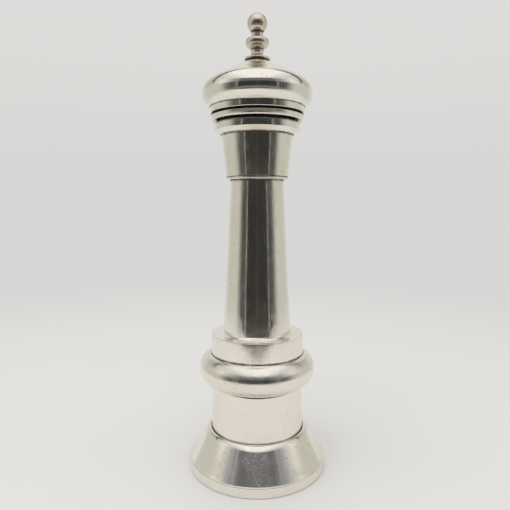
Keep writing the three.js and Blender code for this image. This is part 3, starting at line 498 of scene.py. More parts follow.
def ripple(theta, height):
    """0 to 1: half of 1 + the weighted mean of the sines of (waves x angle + rate x height + shift)."""
    total = sum(weight for *_, weight in WAVES)
    wave = sum(w * np.sin(k * theta + rate * height + shift) for k, rate, shift, w in WAVES)
    return 0.5 + 0.5 * wave / total


def full_turn(count):
    """That many angles, evenly spaced over a full turn."""
    return np.linspace(0, 2 * math.pi, count, endpoint=False)


def round_axis(radius, theta, height):
    """The points (r cos a, r sin a, z), row by row."""
    spread = [radius * np.cos(theta), radius * np.sin(theta), height + 0 * theta]
    return np.stack(spread, -1).reshape(-1, 3)


def grid(rows, around, closed=False):
    """Quads between neighbouring rows of points, each row a ring of its own. closed joins the last
    row to the first as well."""
    i, j = np.arange(rows if closed else rows - 1)[:, None], np.arange(around)[None, :]
    up, on = (i + 1) % rows, (j + 1) % around
    corners = [i * around + j, i * around + on, up * around + on, up * around + j]
    return np.stack(corners, -1).reshape(-1, 4)


def capped(rows, around):
    """The quads of an open tube, and a flat face over each end."""
    ring = np.arange(around)
    return grid(rows, around).tolist() + [ring[::-1].tolist(), (ring + (rows - 1) * around).tolist()]


def mesh_object(name, points, faces, material, crease=None, sharp=35):
    """A smooth-shaded object from points in millimetres and faces, with its crease attribute."""
    mesh = bpy.data.meshes.new(name)
    mesh.from_pydata((points * MM).tolist(), [], faces)
    mesh.shade_smooth()
    mesh.set_sharp_from_angle(angle=math.radians(sharp))
    values = np.zeros(len(points)) if crease is None else crease
    mesh.attributes.new("crease", "FLOAT", "POINT").data.foreach_set("value", values.astype(np.float32))
    mesh.materials.append(material)
    mesh.validate()
    return into_scene(name, mesh)


def turn(name, profile, material, around=192, seams=(), ripples=1.0, trim=None, longest=2.5):
    """Point (r, z) of the profile at angle a goes to (r cos a, r sin a, z), r less its ripple. A
    profile that starts and ends on the axis is closed there by a single point at each end. seams are
    (radius, height, width): crease = the highest of exp(-(distance / width)^2)."""
    profile = np.asarray(profile, float)
    closed = profile[0, 0] > 1e-9
    profile = filled_in(profile, longest, closed)
    ring = profile if closed else profile[1:-1]
    theta = full_turn(around)[None, :]
    r, z = ring[:, :1], ring[:, 1:]
    radius = r - ripples * RIPPLE * ripple(theta, z) * np.minimum(1, r / 8)
    if trim is not None:
        radius = trim(radius, theta, z)
    points = round_axis(radius, theta, z)
    near = np.zeros(len(ring))
    for seam_r, seam_z, width in seams:
        away = np.hypot(ring[:, 0] - seam_r, ring[:, 1] - seam_z)
        near = np.maximum(near, np.exp(-(away / width) ** 2))
    crease = np.repeat(near, around)
    faces = grid(len(ring), around, closed).tolist()
    if not closed:
        first, last = np.full(around, len(points)), np.full(around, len(points) + 1)
        points = np.concatenate([points, [[0, 0, profile[0, 1]], [0, 0, profile[-1, 1]]]])
        crease = np.r_[crease, 0, 0]
        this, top = np.arange(around), (len(ring) - 1) * around
        following = np.roll(this, -1)
        faces += np.stack([first, following, this], -1).tolist()
        faces += np.stack([last, top + this, top + following], -1).tolist()
    piece = mesh_object(name, points, faces, material, crease)
    print(f"{name}: {len(faces)} faces, radius {profile[:, 0].max():.1f} mm, "
          f"height {profile[:, 1].min():.1f} to {profile[:, 1].max():.1f} mm")
    return piece


def stand_for(piece, node, body):
    """The piece takes a CAD node's place and rides on its body."""
    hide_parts(node)
    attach(piece, body)
    return piece


def reach(node):
    """(outer radius, lowest, highest) of a CAD node, in millimetres."""
    low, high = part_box(node)
    return high.x / MM, low.z / MM, high.z / MM


WALL = 1.2


def spun(name, node, skin, seams, base=0, longest=2.0, body="mill_body", material=silver_plate, around=192):
    """A shell of sheet under the skin, turned and put in a CAD node's place. base is what the
    heights of skin and seams are counted from."""
    outline = sheet(filled_in(np.asarray(skin, float) + (0, base), longest, False), WALL)
    seams = [(r, z + base, width) for r, z, width in seams]
    stand_for(turn(name, outline, material, around, seams), node, body)


print("ripple of", RIPPLE, "mm at most, sheet of", WALL, "mm")

# %% [markdown]
# ## The foot
#
# One sheet is spun into a cone with a thick upright rim at the bottom. At the top it rolls into a
# small lip, dips beside the drum and turns inwards as the flange that holds the mechanism. The lip
# and the rim are rounded, so that each shows a thin bright line.

# %% Foot
foot_r, _, foot_top = reach("foot_shell")
drum_r, drum_low, drum_top = reach("drum_tube")
FLANGE_TOP = 20.4
FLANGE_BORE = 21.6
RIM_HEIGHT = 6.2
RIM_WALL = 2.4
RIM_INSIDE = 3.8
LIP_RADIUS = 31.2
CONE_INSIDE = 39.9
NECK_INSIDE = 31.9
drum_hole = drum_r + 0.3

foot_outline = corner_rounded(
    [(foot_r - RIM_WALL, 0), (foot_r, 0), (foot_r, RIM_HEIGHT - 0.1), (foot_r - 0.85, RIM_HEIGHT),
     (LIP_RADIUS + 0.7, foot_top - 2.4), (LIP_RADIUS - 0.3, foot_top - 1.0),
     (LIP_RADIUS - 1.3, foot_top - 0.15), (LIP_RADIUS - 2.0, foot_top), (drum_hole, foot_top - 0.1),
     (drum_hole, FLANGE_TOP), (FLANGE_BORE, FLANGE_TOP), (FLANGE_BORE, FLANGE_TOP - WALL),
     (NECK_INSIDE, FLANGE_TOP - WALL), (CONE_INSIDE, RIM_HEIGHT), (foot_r - RIM_WALL, RIM_INSIDE)],
    [0.3, 0.9, 0.8, 0.15, 0.8, 0.8, 0.6, 0.3, 0.4, 0, 0.3, 0.3, 0.5, 0.5, 0.3])
# Beside the drum the seam adds painted shade to the gap as well as tarnish; the rim's lower edge is darkened
# in a thin line.
foot = turn("foot", foot_outline, silver_plate, seams=[(drum_hole, foot_top - 1.2, 0.8), (foot_r, 0, 0.4)])
stand_for(foot, "foot_shell", "mill_body")

# %% [markdown]
# ## Drum, bead and step
#
# These three are the pedestal of the column. The drum tapers a little, the bead is a half-round
# ring, and the step closes it with a flat top. The solder between them has gone brown in places.

# %% Drum
DRUM_TOP_R = 27.1
drum_skin = [(drum_r, drum_low), (drum_r - 0.01, drum_low + 0.3), (DRUM_TOP_R, drum_top - 0.1),
             (DRUM_TOP_R - 0.15, drum_top + 0.15)]
# The seams at the drum's ends carry tarnish and painted shade of its joints to foot and bead.
spun("drum", "drum_tube", drum_skin, [(drum_r, foot_top, 0.4), (DRUM_TOP_R, drum_top, 0.7)])

# %% Bead
bead_r, bead_low, bead_top = reach("torus_bead")
BEAD_LIP = 27.9
swing = np.linspace(-math.pi / 2, math.pi / 2, 72)
bead_half = (bead_top - bead_low) / 2
BEAD_KEEN = 0.035    # how far the curve is drawn in on both sides of its middle, which makes it keener
bead_skin = np.c_[BEAD_LIP + (bead_r - BEAD_LIP) * (np.cos(swing) - BEAD_KEEN * np.sin(2 * swing) ** 2),
                  bead_low + bead_half + (bead_half + 0.1) * np.sin(swing)]
# The seams where the bead meets drum and step carry tarnish and painted shade of those joints.
spun("bead", "torus_bead", bead_skin, [(BEAD_LIP, bead_low, 0.9), (BEAD_LIP, bead_top, 1.1)],
     material=bead_silver)

# %% Step
step_r, step_low, step_top = reach("step_ring")
STEP_TOP_R = 27.9
COLUMN_BORE = 19.4
step_skin = np.concatenate([
    [(step_r, step_low - 0.1)],
    bend((STEP_TOP_R, step_top - 0.4), (STEP_TOP_R, step_top - 0.1), (STEP_TOP_R - 0.1, step_top),
         (STEP_TOP_R - 0.4, step_top), 9),
    [(COLUMN_BORE, step_top)]])
# The seam at the step's lower edge carries tarnish and painted shade of its joint with the bead.
spun("step", "step_ring", step_skin, [(step_r, step_low, 0.7)])

# %% [markdown]
# ## Column and its solder
#
# The column is a plain tapering tube. It stands on the step in a ring of solder that was scraped
# smooth by hand, so the ring swells and thins as it goes round.

# %% Column
column_r, column_low, column_top = reach("column_tube")
COLUMN_TOP_R = 15.9
# Its seams carry tarnish and painted shade; the one at the foot darkens the line beside the solder ring.
spun("column", "column_tube", [(column_r, column_low - 0.15), (COLUMN_TOP_R, column_top + 0.1)],
     [(column_r, column_low + 0.9, 0.5), (COLUMN_TOP_R, column_top, 1.2)], longest=2.5)

# %% Solder ring at the column's base
def uneven(radius, theta, height):
    """Draws the outside of the ring in by up to half a millimetre, with three waves round it."""
    swell = 0.10 * np.sin(3 * theta + 0.7) + 0.08 * np.sin(7 * theta + 2.0) + 0.05 * np.sin(17 * theta)
    outward = np.clip((radius - column_r - 0.1) / 0.5, 0, 1)
    return radius + (swell - 0.23) * outward


fillet_r, _, fillet_top = reach("column_fillet")
SOLDER_R = fillet_r + 1.5
fillet_outline = np.concatenate([
    [(column_r - 0.12, step_top - 0.05), (SOLDER_R, step_top - 0.05)],
    bend((SOLDER_R, step_top + 0.04), (SOLDER_R - 1.2, step_top + 0.12),
         (column_r + 0.5, step_top + 0.6), (column_r - 0.03, fillet_top), 14),
    [(column_r - 0.12, fillet_top)]])
fillet = turn("column_solder", fillet_outline, silver_plate, trim=uneven)
stand_for(fillet, "column_fillet", "mill_body")

# %% [markdown]
# ## Capital and collar
#
# The capital opens upwards from a narrow lip, and the collar above it has a bevelled underside and
# an upright wall. Between the collar and the head is the dark gap that the head turns in.

# %% Capital
capital_r, capital_low, capital_top = reach("capital_cup")
CAPITAL_LIP = 18.7
rise = capital_top - capital_low     # heights here are above the capital's lower edge
capital_skin = np.concatenate([
    [(14.7, -0.1)],
    bend((CAPITAL_LIP - 0.6, -0.1), (CAPITAL_LIP, -0.1), (CAPITAL_LIP + 0.05, 0.5),
         (CAPITAL_LIP - 0.1, 1.0), 8),
    bend((CAPITAL_LIP - 0.22, 1.3), (CAPITAL_LIP - 0.2, 1.5), (CAPITAL_LIP - 0.15, 1.7),
         (CAPITAL_LIP - 0.1, 2.2), 6),
    [(capital_r - 0.02, rise + 0.1)]])
# Its seams carry tarnish and painted shade; the one under the lip darkens the dark line there.
spun("capital", "capital_cup", capital_skin,
     [(CAPITAL_LIP - 0.2, 1.3, 0.5), (16.2, 0, 1.0), (capital_r, rise, 0.7)], base=capital_low)

# %% Collar
collar_r, collar_low, collar_top = reach("collar_ring")
COLLAR_EDGE = collar_top - 0.5   # the head's dark gap starts here
collar_skin = np.concatenate([
    [(19.9, collar_low - 0.05), (21.35, collar_low - 0.05)],
    bend((collar_r - 0.9, collar_low + 1.75), (collar_r - 0.15, collar_low + 2.1),
         (collar_r, collar_low + 2.3), (collar_r, collar_low + 2.9), 8),
    bend((collar_r, COLLAR_EDGE - 0.4), (collar_r, COLLAR_EDGE - 0.1), (collar_r - 0.1, COLLAR_EDGE),
         (collar_r - 0.3, COLLAR_EDGE), 7)])
# Its seams carry tarnish and painted shade; the one at the top edge darkens the head's gap.
spun("collar", "collar_ring", collar_skin,
     [(21.4, collar_low, 0.8), (collar_r, COLLAR_EDGE + 0.3, 1.1)], longest=1.5)

# %% [markdown]
# ## Plain rings
#
# Bushes and washers are flat-sided rings with a broken edge. One function makes them from a CAD
# node's own box and its bore.

# %% Plain rings
def plain_ring(name, node, bore, material, body, edge=0.2, around=144):
    """A rectangle from bore to the node's radius and between its heights, corners rounded by edge."""
    outline = rectangle(bore, *reach(node), [edge] * 4, 5)
    stand_for(turn(name, outline, material, around, ripples=0.2), node, body)


SPIGOT_BORE = 16.35
THREAD_HOLE = 2.35       # the hole that the thread of the spindle passes through
plain_ring("mouth_bearing", "mouth_bush", 20.5, nylon, "mill_body", 0.25)
plain_ring("thrust_ring", "thrust_washer", 4.6, brass, "mill_body", 0.12, 72)
plain_ring("head_spigot", "spigot_ring", SPIGOT_BORE, brass, "drive_head", 0.3)
plain_ring("fibre_washer", "knob_washer", THREAD_HOLE, fibre, "knob", 0.15, 96)
plain_ring("tail_ring", "tail_washer", 2.8, steel, "grinder", 0.15, 72)

# %% [markdown]
# ## The head
#
# Below the dome is the drive plate, a spider whose rim shows as the narrow silver band between two
# dark lines. It is made of a rim, an inner ring, a hub and three spokes that run into each other.

# %% Drive plate
plate_r, plate_low, plate_top = reach("drive_plate")
PLATE_BASE_R = 26.6
PLATE_BORE = 23.3
DARK_LINE = 0.7      # how far the rim stops short of the plate's full height
WEB_TOP = plate_low + 2.0
LEDGE = 2.0          # how wide that lowered step is; behind it the rim has its full height
rim_outline = corner_rounded(
    [(PLATE_BORE, plate_low), (PLATE_BASE_R, plate_low), (plate_r - 0.1, plate_top - DARK_LINE),
     (plate_r - LEDGE, plate_top - DARK_LINE), (plate_r - LEDGE, plate_top), (PLATE_BORE, plate_top)],
    [0.2, 0.7, 0.5, 0.1, 0.2, 0.2])
# The seam on the ledge's wall paints shade into the dark line above the rim, with some tarnish; the one
# under the rim darkens its lower edge.
rim = turn("drive_rim", rim_outline, silver_plate, seams=[
    (plate_r - LEDGE, plate_top - DARK_LINE / 2, 1.6), (PLATE_BASE_R - 1.6, plate_low, 1.5)])
stand_for(rim, "drive_plate", "drive_head")

HUB_BORE, HUB_R = 6.6, 8.9
for name, bore, outer, edges in (("drive_web", SPIGOT_BORE, PLATE_BORE + 0.4, [0.3, 0, 0, 0.3]),
                                 ("drive_hub", HUB_BORE, HUB_R, [0.3] * 4)):
    outline = rectangle(bore, outer, plate_low, WEB_TOP, edges)
    stand_for(turn(name, outline, silver_plate, 144), "drive_plate", "drive_head")


# %% Spokes of the drive plate
def bar_between(name, start, end, width, low, high, material, edge=0.25):
    """A straight bar: its cross-section is a rounded rectangle, carried from start to end in the
    level plane, with flat ends."""
    start, end = np.array(start, float), np.array(end, float)
    along = (end - start) / np.linalg.norm(end - start)
    side = np.array([-along[1], along[0]])
    section = rectangle(-width / 2, width / 2, low, high, [edge] * 4)
    rings = [np.c_[point + section[:, :1] * side, section[:, 1]] for point in (start, end)]
    return mesh_object(name, np.concatenate(rings), capped(2, len(section)), material)


SPOKE_WIDTH = 7.0
SPOKE_START, SPOKE_END = 7.6, 17.5
SPOKES = [math.radians(a) for a in (30, 150, 270)]
for number, angle in enumerate(SPOKES, 1):
    out = np.array([math.cos(angle), math.sin(angle)])
    spoke = bar_between(f"drive_spoke_{number}", out * SPOKE_START, out * SPOKE_END, SPOKE_WIDTH,
                        plate_low, WEB_TOP, silver_plate)
    stand_for(spoke, "drive_plate", "drive_head")
print(len(SPOKES), "spokes, each", SPOKE_WIDTH, "mm wide")

# %% [markdown]
# ## The dome
#
# The dome is the widest piece of the head. Its outline leaves a short upright band, swells under
# itself to the widest ring, turns over a full shoulder and then hollows as it climbs to the seat of
# the finial. Cubic curves make it, as a spinner's template would.

# %% Dome
dome_r, dome_low, dome_top = reach("dome_shell")
BAND_R = 27.8
BAND_TOP = dome_low + 4.0
WAIST = dome_low + 11.6
SHOULDER_R = 17.2
SHOULDER = dome_low + 24.9
SEAT_R = 8.6
GAP = 0.35           # the dark line under the dome is this much wider at its upper side
dome_skin = np.concatenate([
    bend((BAND_R - 0.5, dome_low + GAP), (BAND_R - 0.2, dome_low + GAP), (BAND_R, dome_low + GAP + 0.2),
         (BAND_R, dome_low + GAP + 0.5), 6),
    bend((BAND_R, BAND_TOP - 0.5), (BAND_R, BAND_TOP - 0.1), (BAND_R + 0.1, BAND_TOP + 0.05),
         (BAND_R + 0.5, BAND_TOP + 0.2), 6),
    bend((BAND_R + 0.55, BAND_TOP + 0.22), (BAND_R + 1.9, BAND_TOP + 0.8), (dome_r, WAIST - 4.6),
         (dome_r, WAIST), 30),
    bend((dome_r, WAIST), (dome_r, WAIST + 8.8), (SHOULDER_R + 2.9, SHOULDER - 2.2),
         (SHOULDER_R, SHOULDER), 48)[1:],
    bend((SHOULDER_R, SHOULDER), (15.0, SHOULDER + 1.66), (11.5, dome_top - 1.9),
         (SEAT_R, dome_top - 0.15), 18)[1:],
    bend((SEAT_R - 0.05, dome_top - 0.12), (SEAT_R - 0.2, dome_top - 0.02), (SEAT_R - 0.4, dome_top),
         (SEAT_R - 0.7, dome_top), 5),
    [(4.2, dome_top)]])
# Its seams carry tarnish and painted shade; the one at the band's lower edge darkens the dark line under the
# dome.
spun("dome", "dome_shell", dome_skin,
     [(BAND_R, BAND_TOP, 0.6), (BAND_R - 1.5, dome_low + GAP, 1.3), (7.6, dome_top, 1.6)],
     longest=1.2, body="dome", around=256)

# %% [markdown]
# ## The finial
#
# The finial is one turned piece: a flared skirt, a waist, a rounded collar, a neck and a ball.

# %% Finial
knob_r, knob_low, knob_top = reach("finial_knob")
BALL = 5.8
BALL_CENTRE = knob_top - knob_low - BALL     # heights here are above the finial's lower edge
BORE_TOP = 14.2
NECK = 3.6
UPPER_NECK = 3.4
swing = np.linspace(-math.acos(UPPER_NECK / BALL), math.pi / 2, 40)
knob_outline = np.concatenate([
    [(0, BORE_TOP), (THREAD_HOLE, BORE_TOP), (THREAD_HOLE, 0.6), (6.9, 0.6)],
    corner_rounded([(6.9, 0.3), (6.95, 0), (knob_r, 0), (knob_r, 0.8)], [0, 0.15, 0.35, 0]),
    bend((knob_r, 1.0), (knob_r, 1.7), (knob_r - 0.6, 1.75), (knob_r - 1.2, 1.9), 9),
    bend((knob_r - 1.3, 1.93), (NECK + 0.9, 2.3), (NECK, 3.2), (NECK, 4.6), 16),
    bend((NECK, 6.2), (NECK + 0.1, 6.75), (6.2, 7.2), (6.75, 9.6), 20),
    bend((6.78, 9.8), (6.95, 11.2), (6.6, 12.3), (5.2, 12.6), 14),
    bend((5.0, 12.62), (4.2, 12.7), (UPPER_NECK, 12.75), (UPPER_NECK, 13.3), 8),
    np.c_[BALL * np.cos(swing), BALL_CENTRE + BALL * np.sin(swing)]])
knob_outline[-1, 0] = 0
knob_outline[:, 1] += knob_low
# Its seams carry tarnish and painted shade; the one under the ball paints the ball's shadow on the neck.
finial = turn("finial", knob_outline, finial_silver, around=128, longest=0.6, seams=[
    (UPPER_NECK, knob_low + 16.2, 1.15), (NECK, knob_low + 6.5, 0.6), (knob_r, knob_low, 0.6),
    (UPPER_NECK, knob_low + 12.8, 0.6)])
stand_for(finial, "finial_knob", "knob")

# %% [markdown]
# ## Solder lines
#
# Under a loupe each seam of the pedestal has a thread of solder in it that stands a little proud
# here and sinks there. It is a thin round ring whose radius wanders.

# %% Solder threads
def solder_thread(name, radius, height, thickness, wander, turn_by):
    """A ring of round section: radius + wander x (the mean of three sines of the angle), section
    radius thickness. It is a closed tube, and it's brown in some places."""
    around, sides = 360, 10
    theta = full_turn(around)[:, None]
    phi = full_turn(sides)[None, :]
    drift = sum(np.sin(k * (theta + turn_by) + s) for k, s in ((4, 0.3), (13, 2.0), (37, 4.1))) / 3
    thick = thickness * (0.8 + 0.2 * np.sin(23 * theta + turn_by))
    r = radius + wander * drift + thick * np.cos(phi)
    z = height + 0.06 * np.sin(29 * theta) + thick * np.sin(phi)
    faces = grid(around, sides, True)[:, [0, 3, 2, 1]].tolist()
    tarnished = 0.45 + 0.55 * np.sin(3 * theta + turn_by) * np.sin(5 * theta + 2 * turn_by)
    crease = np.repeat(np.clip(tarnished, 0, 1), sides)
    piece = mesh_object(name, round_axis(r, theta, z), faces, solder, crease)
    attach(piece, "mill_body")
    print(name, "at radius", round(radius, 2), "height", round(height, 2))
    return piece


solder_thread("drum_solder", 27.0, bead_low - 0.05, 0.16, 0.13, 0.4)
solder_thread("step_solder", step_r - 0.12, bead_top + 0.16, 0.18, 0.14, 2.2)
solder_thread("capital_solder", COLUMN_TOP_R + 0.05, capital_low - 0.12, 0.18, 0.1, 4.0)
solder_thread("collar_solder", 21.2, collar_low - 0.12, 0.16, 0.1, 1.3)

# %% [markdown]
# ## The mechanism
#
# Inside are a cast housing with its funnel, the toothed burrs, a square spindle with a thread at
# each end, a spring, a nut and slotted screws. The burrs' teeth and the screws' slots are already
# true in the engineering model, so those nodes stay and get their metal. The rest are made here.

# %% Housing
housing_r, housing_low, housing_top = reach("grinder_housing")
housing_outline = corner_rounded(
    [(16.5, housing_low), (housing_r, housing_low), (housing_r, housing_low + 3), (20.2, housing_low + 3),
     (20.2, housing_low + 19.6), (23.2, housing_top - 2), (25.6, housing_top - 2), (25.6, housing_top),
     (21.6, housing_top), (11.7, housing_low + 18), (11.7, housing_low + 16.8), (16.5, housing_low + 16.8)],
    [0.3, 0.4, 0.4, 0.8, 1.0, 0.6, 0.3, 0.3, 0.6, 0.6, 0.3, 0.3])
housing = turn("housing", housing_outline, alloy, 144, ripples=0.3)
stand_for(housing, "grinder_housing", "mill_body")


# %% Threads
def threaded_rod(name, radius, low, high, pitch, depth, material, around=40, per_turn=10):
    """A rod of radius less depth x (distance in turns from the thread's crest, widened and held
    between 0 and 1). The thread fades out at both ends, and a flat face closes each."""
    rows = int((high - low) / pitch * per_turn)
    z = np.linspace(low, high, rows)[:, None]
    theta = full_turn(around)[None, :]
    phase = (z / pitch - theta / (2 * math.pi)) % 1.0
    groove = np.clip(np.abs(phase - 0.5) * 2.4 - 0.1, 0, 1)
    fade = np.clip(np.minimum(z - low, high - z) / 0.5, 0, 1)
    r = radius - depth * (1 - fade) - depth * groove * fade
    print(name, rows, "rows,", round((high - low) / pitch, 1), "turns")
    return mesh_object(name, round_axis(r, theta, z), capped(rows, around), material, sharp=25)


_, spindle_low, spindle_top = reach("spindle")
FLATS = 6.0
SQUARE_LOW = spindle_low + 9.0
SQUARE_TOP = plate_top + 4.0
for piece in (
        bar_between("spindle_bar", (0, -FLATS / 2), (0, FLATS / 2), FLATS, SQUARE_LOW, SQUARE_TOP, steel,
                    0.3),
        threaded_rod("spindle_thread", 2.0, SQUARE_TOP - 0.3, spindle_top, 0.7, 0.28, steel),
        threaded_rod("spindle_tail", 2.5, spindle_low, SQUARE_LOW + 0.3, 0.8, 0.3, steel)):
    stand_for(piece, "spindle", "grinder")


# %% Spring
# A round wire along a helix: centre line (R cos a, R sin a, height), where the height rises with a
# and levels off at both ends. The wire's section lies on the outward direction and the one square to
# it and to the run.
_, spring_low, spring_top = reach("grinder_spring")
COIL_RADIUS, WIRE_RADIUS, TURNS = 5.8, 0.6, 5
STEPS_A_TURN, SIDES = 36, 12
a = np.linspace(0, 2 * math.pi * TURNS, TURNS * STEPS_A_TURN)
share = a / a[-1]
level = np.clip(np.minimum(share, 1 - share) * TURNS / 0.8, 0, 1)
rise = np.cumsum(0.12 + level)
low, high = spring_low + WIRE_RADIUS, spring_top - WIRE_RADIUS
z = low + (high - low) * (rise - rise[0]) / (rise[-1] - rise[0])
centre = np.c_[COIL_RADIUS * np.cos(a), COIL_RADIUS * np.sin(a), z]
run = np.gradient(centre, axis=0)
run /= np.linalg.norm(run, axis=1, keepdims=True)
outward = np.c_[np.cos(a), np.sin(a), 0 * a]
across = np.cross(run, outward)
phi = full_turn(SIDES)[None, :, None]
section = np.cos(phi) * outward[:, None] + np.sin(phi) * across[:, None]
points = (centre[:, None] + WIRE_RADIUS * section).reshape(-1, 3)
spring = mesh_object("spring_coil", points, capped(len(a), SIDES), steel)
print("spring of", TURNS, "turns of", 2 * WIRE_RADIUS, "mm wire")
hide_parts("grinder_spring")
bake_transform(spring)


# %% Tail nut and bushes
NUT_BORE, NUT_FACE, NUT_CORNER, NUT_FLATS = 2.55, 3.9, 4.62, 7.95


def hexagon(radius, theta, height):
    """Keeps the outer points in a hexagon: half its flats / cos(angle from the nearest flat)."""
    off = (theta + math.pi / 6) % (math.pi / 3) - math.pi / 6
    return np.where(radius > NUT_FLATS / 2 - 0.01, np.minimum(radius, NUT_FLATS / 2 / np.cos(off)), radius)


_, nut_low, nut_top = reach("tail_nut")
nut_outline = [(NUT_BORE, nut_low + 0.2), (NUT_BORE + 0.25, nut_low), (NUT_FACE, nut_low),
               (NUT_CORNER, nut_low + 0.45), (NUT_CORNER, nut_top - 0.45), (NUT_FACE, nut_top),
               (NUT_BORE + 0.25, nut_top), (NUT_BORE, nut_top - 0.2)]
nut = turn("tail_hex_nut", nut_outline, brass, 144, ripples=0, trim=hexagon, longest=0.4)
stand_for(nut, "tail_nut", "grinder")

_, bush_low, bush_top = reach("crown_bush")
BUSH_R, BUSH_FLANGE_R = 3.9, 7.2
FLANGE_FROM, FLANGE_TO = bush_top - 2.9, bush_top - 1.5
bush_outline = corner_rounded(
    [(THREAD_HOLE, bush_low), (BUSH_R, bush_low), (BUSH_R, FLANGE_FROM), (BUSH_FLANGE_R, FLANGE_FROM),
     (BUSH_FLANGE_R, FLANGE_TO), (BUSH_R, FLANGE_TO), (BUSH_R, bush_top), (THREAD_HOLE, bush_top)],
    [0.2, 0.2, 0.3, 0.3, 0.3, 0.2, 0.2, 0.2])
stand_for(turn("seat_bush", bush_outline, brass, 96, ripples=0.2), "crown_bush", "dome")

# %% Metals for the nodes that stay
KEPT = {
    burr_steel: ["stator_ring", "rotor_burr"],
    brass: ["drive_bush"],
    old_brass: ["dome_liner"],
    steel: ["stator_clamp", "bridge_bar", "drive_pin_1", "drive_pin_2"]
           + [f"{kind}_screw_{i}" for kind in ("housing", "clamp", "plate") for i in (1, 2, 3)]
           + ["bridge_screw_1", "bridge_screw_2"],
}
for material, names in KEPT.items():
    for name in names:
        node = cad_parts[name]
        node.data.materials.clear()
        node.data.materials.append(material)
    print(material.name, "on", len(names), "nodes")

# %% [markdown]
# ## The tent
#
# Polished silver shows the room. The mill stands in a white tent on a pale board: bright all round
# and overhead, with one opening in front, where whoever looks at it stands in the dark. That opening
# gives the dark band down the middle of every shell. The thin gap between the tent and its flaps
# gives the two bright lines in it, and the shaded walls give the olive sides.
#
# All of it is one sky. Its colour depends on two angles: how far round from the front a direction
# is, and how far above level.

# %% Angles of the sky
tent = bpy.data.worlds.new("tent")
tent.use_nodes = True
sky = tent.node_tree
east, north, above = split(add(sky, "ShaderNodeTexCoord").outputs["Generated"])
turned = maths("ARCTAN2", east, product(north, -1.0))
round_angle = maths("DEGREES", maths("ABSOLUTE", turned))
up_angle = maths("DEGREES", maths("ARCSINE", above))
print("sky angles: 0 to 180 degrees round, -90 to 90 up")


# %% Walls of the tent
def ramp(value, stops):
    """A smooth colour ramp from (position, colour) stops."""
    node = add(value.id_data, "ShaderNodeValToRGB")
    node.color_ramp.interpolation = "EASE"
    points = node.color_ramp.elements
    while len(points) < len(stops):
        points.new(0.5)
    for point, (position, colour) in zip(points, stops):
        point.position = position
        point.color = (*colour, 1)
    wire(value, node.inputs[0])
    return node.outputs["Color"]


DARK = (0.036, 0.037, 0.035)
GLINT = (0.11, 0.11, 0.105)
FLAP = (0.082, 0.083, 0.074)
SLIT = (0.40, 0.40, 0.38)
OLIVE = (0.57, 0.58, 0.525)
PALE = (0.66, 0.67, 0.645)
WHITE = (0.735, 0.733, 0.722)


def greys(*stops):
    """Stops given as (degrees, brightness), as greys for a ramp over 180 degrees: cool in the front
    opening, slightly warm on the walls."""
    return [(degrees / 180, (v, v, 0.95 * v) if degrees > 60 else (0.98 * v, 1.01 * v, 1.08 * v))
            for degrees, v in stops]


half_turn = maths("DIVIDE", round_angle, 180.0)
walls = ramp(half_turn, [(degrees / 180, tone) for degrees, tone in (
    (0, GLINT), (1.2, DARK), (38.5, DARK), (41, SLIT), (44, FLAP), (56, FLAP), (82, OLIVE), (120, OLIVE),
    (146, PALE), (166, WHITE))])
upper_walls = ramp(half_turn, greys(
    (0, 0.16), (30, 0.145), (38.5, 0.19), (41, 0.40), (44, 0.27), (53, 0.38), (65, 0.62), (78, 0.84),
    (100, 0.60), (122, 0.46), (166, 0.73)))
walls = blended(span(up_angle, 13.0, 21.0), walls, upper_walls)
print("wall tones", DARK, "to", WHITE)

# %% Opening and roof
LOW_WARM = (0.66, 0.64, 0.61)
LAP = (0.21, 0.19, 0.172)
ROOF = (0.97, 0.97, 0.97)
ROOF_SEAM = (0.04, 0.04, 0.04)
SILL, HEAD = (-33.0, -26.0), (34.0, 37.0)          # lower and upper edge of the walls, degrees up
LAP_LOW, LAP_HIGH = (-26.0, -21.0), (-16.0, -6.0)  # what shows of whoever stands in the opening
SEAM_AT = 0.60                                     # slope back and up at which the roof's seam runs
lap = product(span(up_angle, *LAP_HIGH, 1.0, 0.0), span(up_angle, *LAP_LOW),
              span(round_angle, 40.0, 60.0, 1.0, 0.0))
walls = blended(lap, walls, LAP)
inside = product(span(up_angle, *SILL), span(up_angle, *HEAD, 1.0, 0.0))
inside = maths("MAXIMUM", inside, span(round_angle, 80.0, 105.0))
lower = blended(inside, LOW_WARM, walls)
least_above = maths("MAXIMUM", above, 0.05)
back_slope = maths("DIVIDE", north, least_above)
side_slope = maths("DIVIDE", maths("ABSOLUTE", east), least_above)
roofed = product(span(above, 0.56, 0.62), span(back_slope, 0.42, 0.56, 1.0, 0.0),
                 span(side_slope, 0.35, 0.85, 1.0, 0.15))
off_seam = maths("ABSOLUTE", maths("SUBTRACT", back_slope, SEAM_AT))
seam = product(span(off_seam, 0.03, 0.2, 0.97, 0.0), span(above, 0.3, 0.5),
               span(side_slope, 0.1, 0.5, 0.35, 1.0))
colour = blended(seam, blended(roofed, lower, ROOF), ROOF_SEAM)

# %% Plain backdrop
BACKDROP = (0.675, 0.682, 0.668)
BACKDROP_TOP = (0.735, 0.722, 0.708)
backdrop = blended(span(up_angle, 2.0, 24.0), BACKDROP, BACKDROP_TOP)
seen_directly = add(sky, "ShaderNodeLightPath").outputs["Is Camera Ray"]
wire(blended(seen_directly, colour, backdrop), sky.nodes["Background"].inputs["Color"])
bpy.context.scene.world = tent
bpy.context.scene.view_settings.view_transform = "Standard"
print("opening from -30 to 35 degrees, roof above, plain backdrop behind the mill")

# %% [markdown]
# ## The board
#
# The mill stands on pale paper. To reflections it stops just in front, where the dark opening
# begins, and thins out into the tent elsewhere. Seen directly, it turns far off into the tone of the
# backdrop, so no horizon shows.

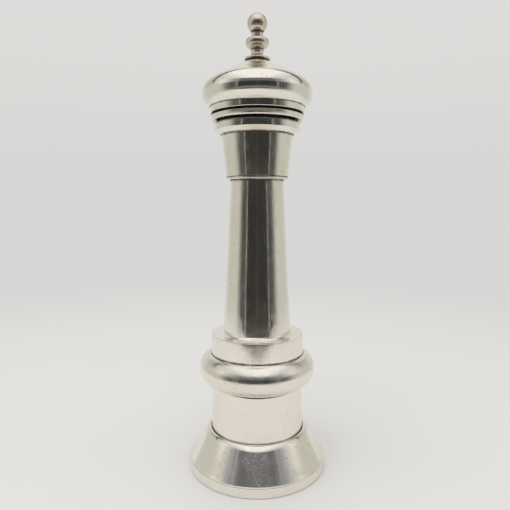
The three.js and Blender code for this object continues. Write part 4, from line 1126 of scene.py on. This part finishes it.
# %% Board under the mill
BOARD = 1.6
corners = [(-BOARD, -BOARD, 0), (BOARD, -BOARD, 0), (BOARD, BOARD, 0), (-BOARD, BOARD, 0)]
board_mesh = bpy.data.meshes.new("board")
board_mesh.from_pydata(corners, [], [(0, 1, 2, 3)])
board = into_scene("board", board_mesh)
paper, tree, shader = blank_material("board_paper")
shader.inputs["Roughness"].default_value = 0.9
shader.inputs["Specular IOR Level"].default_value = 0.1
place = own_place(tree)
grain = placed(tree, grain_group, Fine=260.0)["Grain"]
PAPER = (0.93, 0.922, 0.915)
PAPER_FLECK = (0.938, 0.93, 0.923)
wire(blended(grain, PAPER, PAPER_FLECK), shader.inputs["Base Color"])
far = add(tree, "ShaderNodeVectorMath", operation="LENGTH")
wire(place, far.inputs[0])
far_fade = span(far.outputs["Value"], 0.3, 0.8)
near_fade = span(split(place)["Y"], -0.40, -0.27, 1.0, 0.0)


def faded(share, other):
    """The paper, mixed with another shader by share."""
    mix = add(tree, "ShaderNodeMixShader")
    for source, socket in zip((share, shader.outputs[0], other.outputs[0]), mix.inputs):
        wire(source, socket)
    return mix.outputs[0]


haze = add(tree, "ShaderNodeEmission")
haze.inputs["Color"].default_value = (*BACKDROP, 1)
clear = add(tree, "ShaderNodeBsdfTransparent")
directly = add(tree, "ShaderNodeMixShader")
wire(add(tree, "ShaderNodeLightPath").outputs["Is Camera Ray"], directly.inputs[0])
wire(faded(maths("MAXIMUM", far_fade, near_fade), clear), directly.inputs[1])
wire(faded(far_fade, haze), directly.inputs[2])
wire(directly.outputs[0], tree.nodes["Material Output"].inputs["Surface"])
board_mesh.materials.append(paper)
print("board", 2 * BOARD, "m wide")


# %% Soft lamp
LAMP_PLACE, LAMP_AIM = np.array((-0.15, -0.35, 1.1)), np.array((0, -0.05, 0.1))
light = bpy.data.lights.new("roof_lamp", "AREA")
light.size = 0.8
light.energy = 2.6
roof_lamp = into_scene("roof_lamp", light)
x, y, z = LAMP_AIM - LAMP_PLACE
roof_lamp.location = LAMP_PLACE
roof_lamp.rotation_euler = (math.atan2(math.hypot(x, y), -z), 0, math.atan2(-x, y))
roof_lamp.visible_glossy = False
print("lamp of", light.energy, "W")
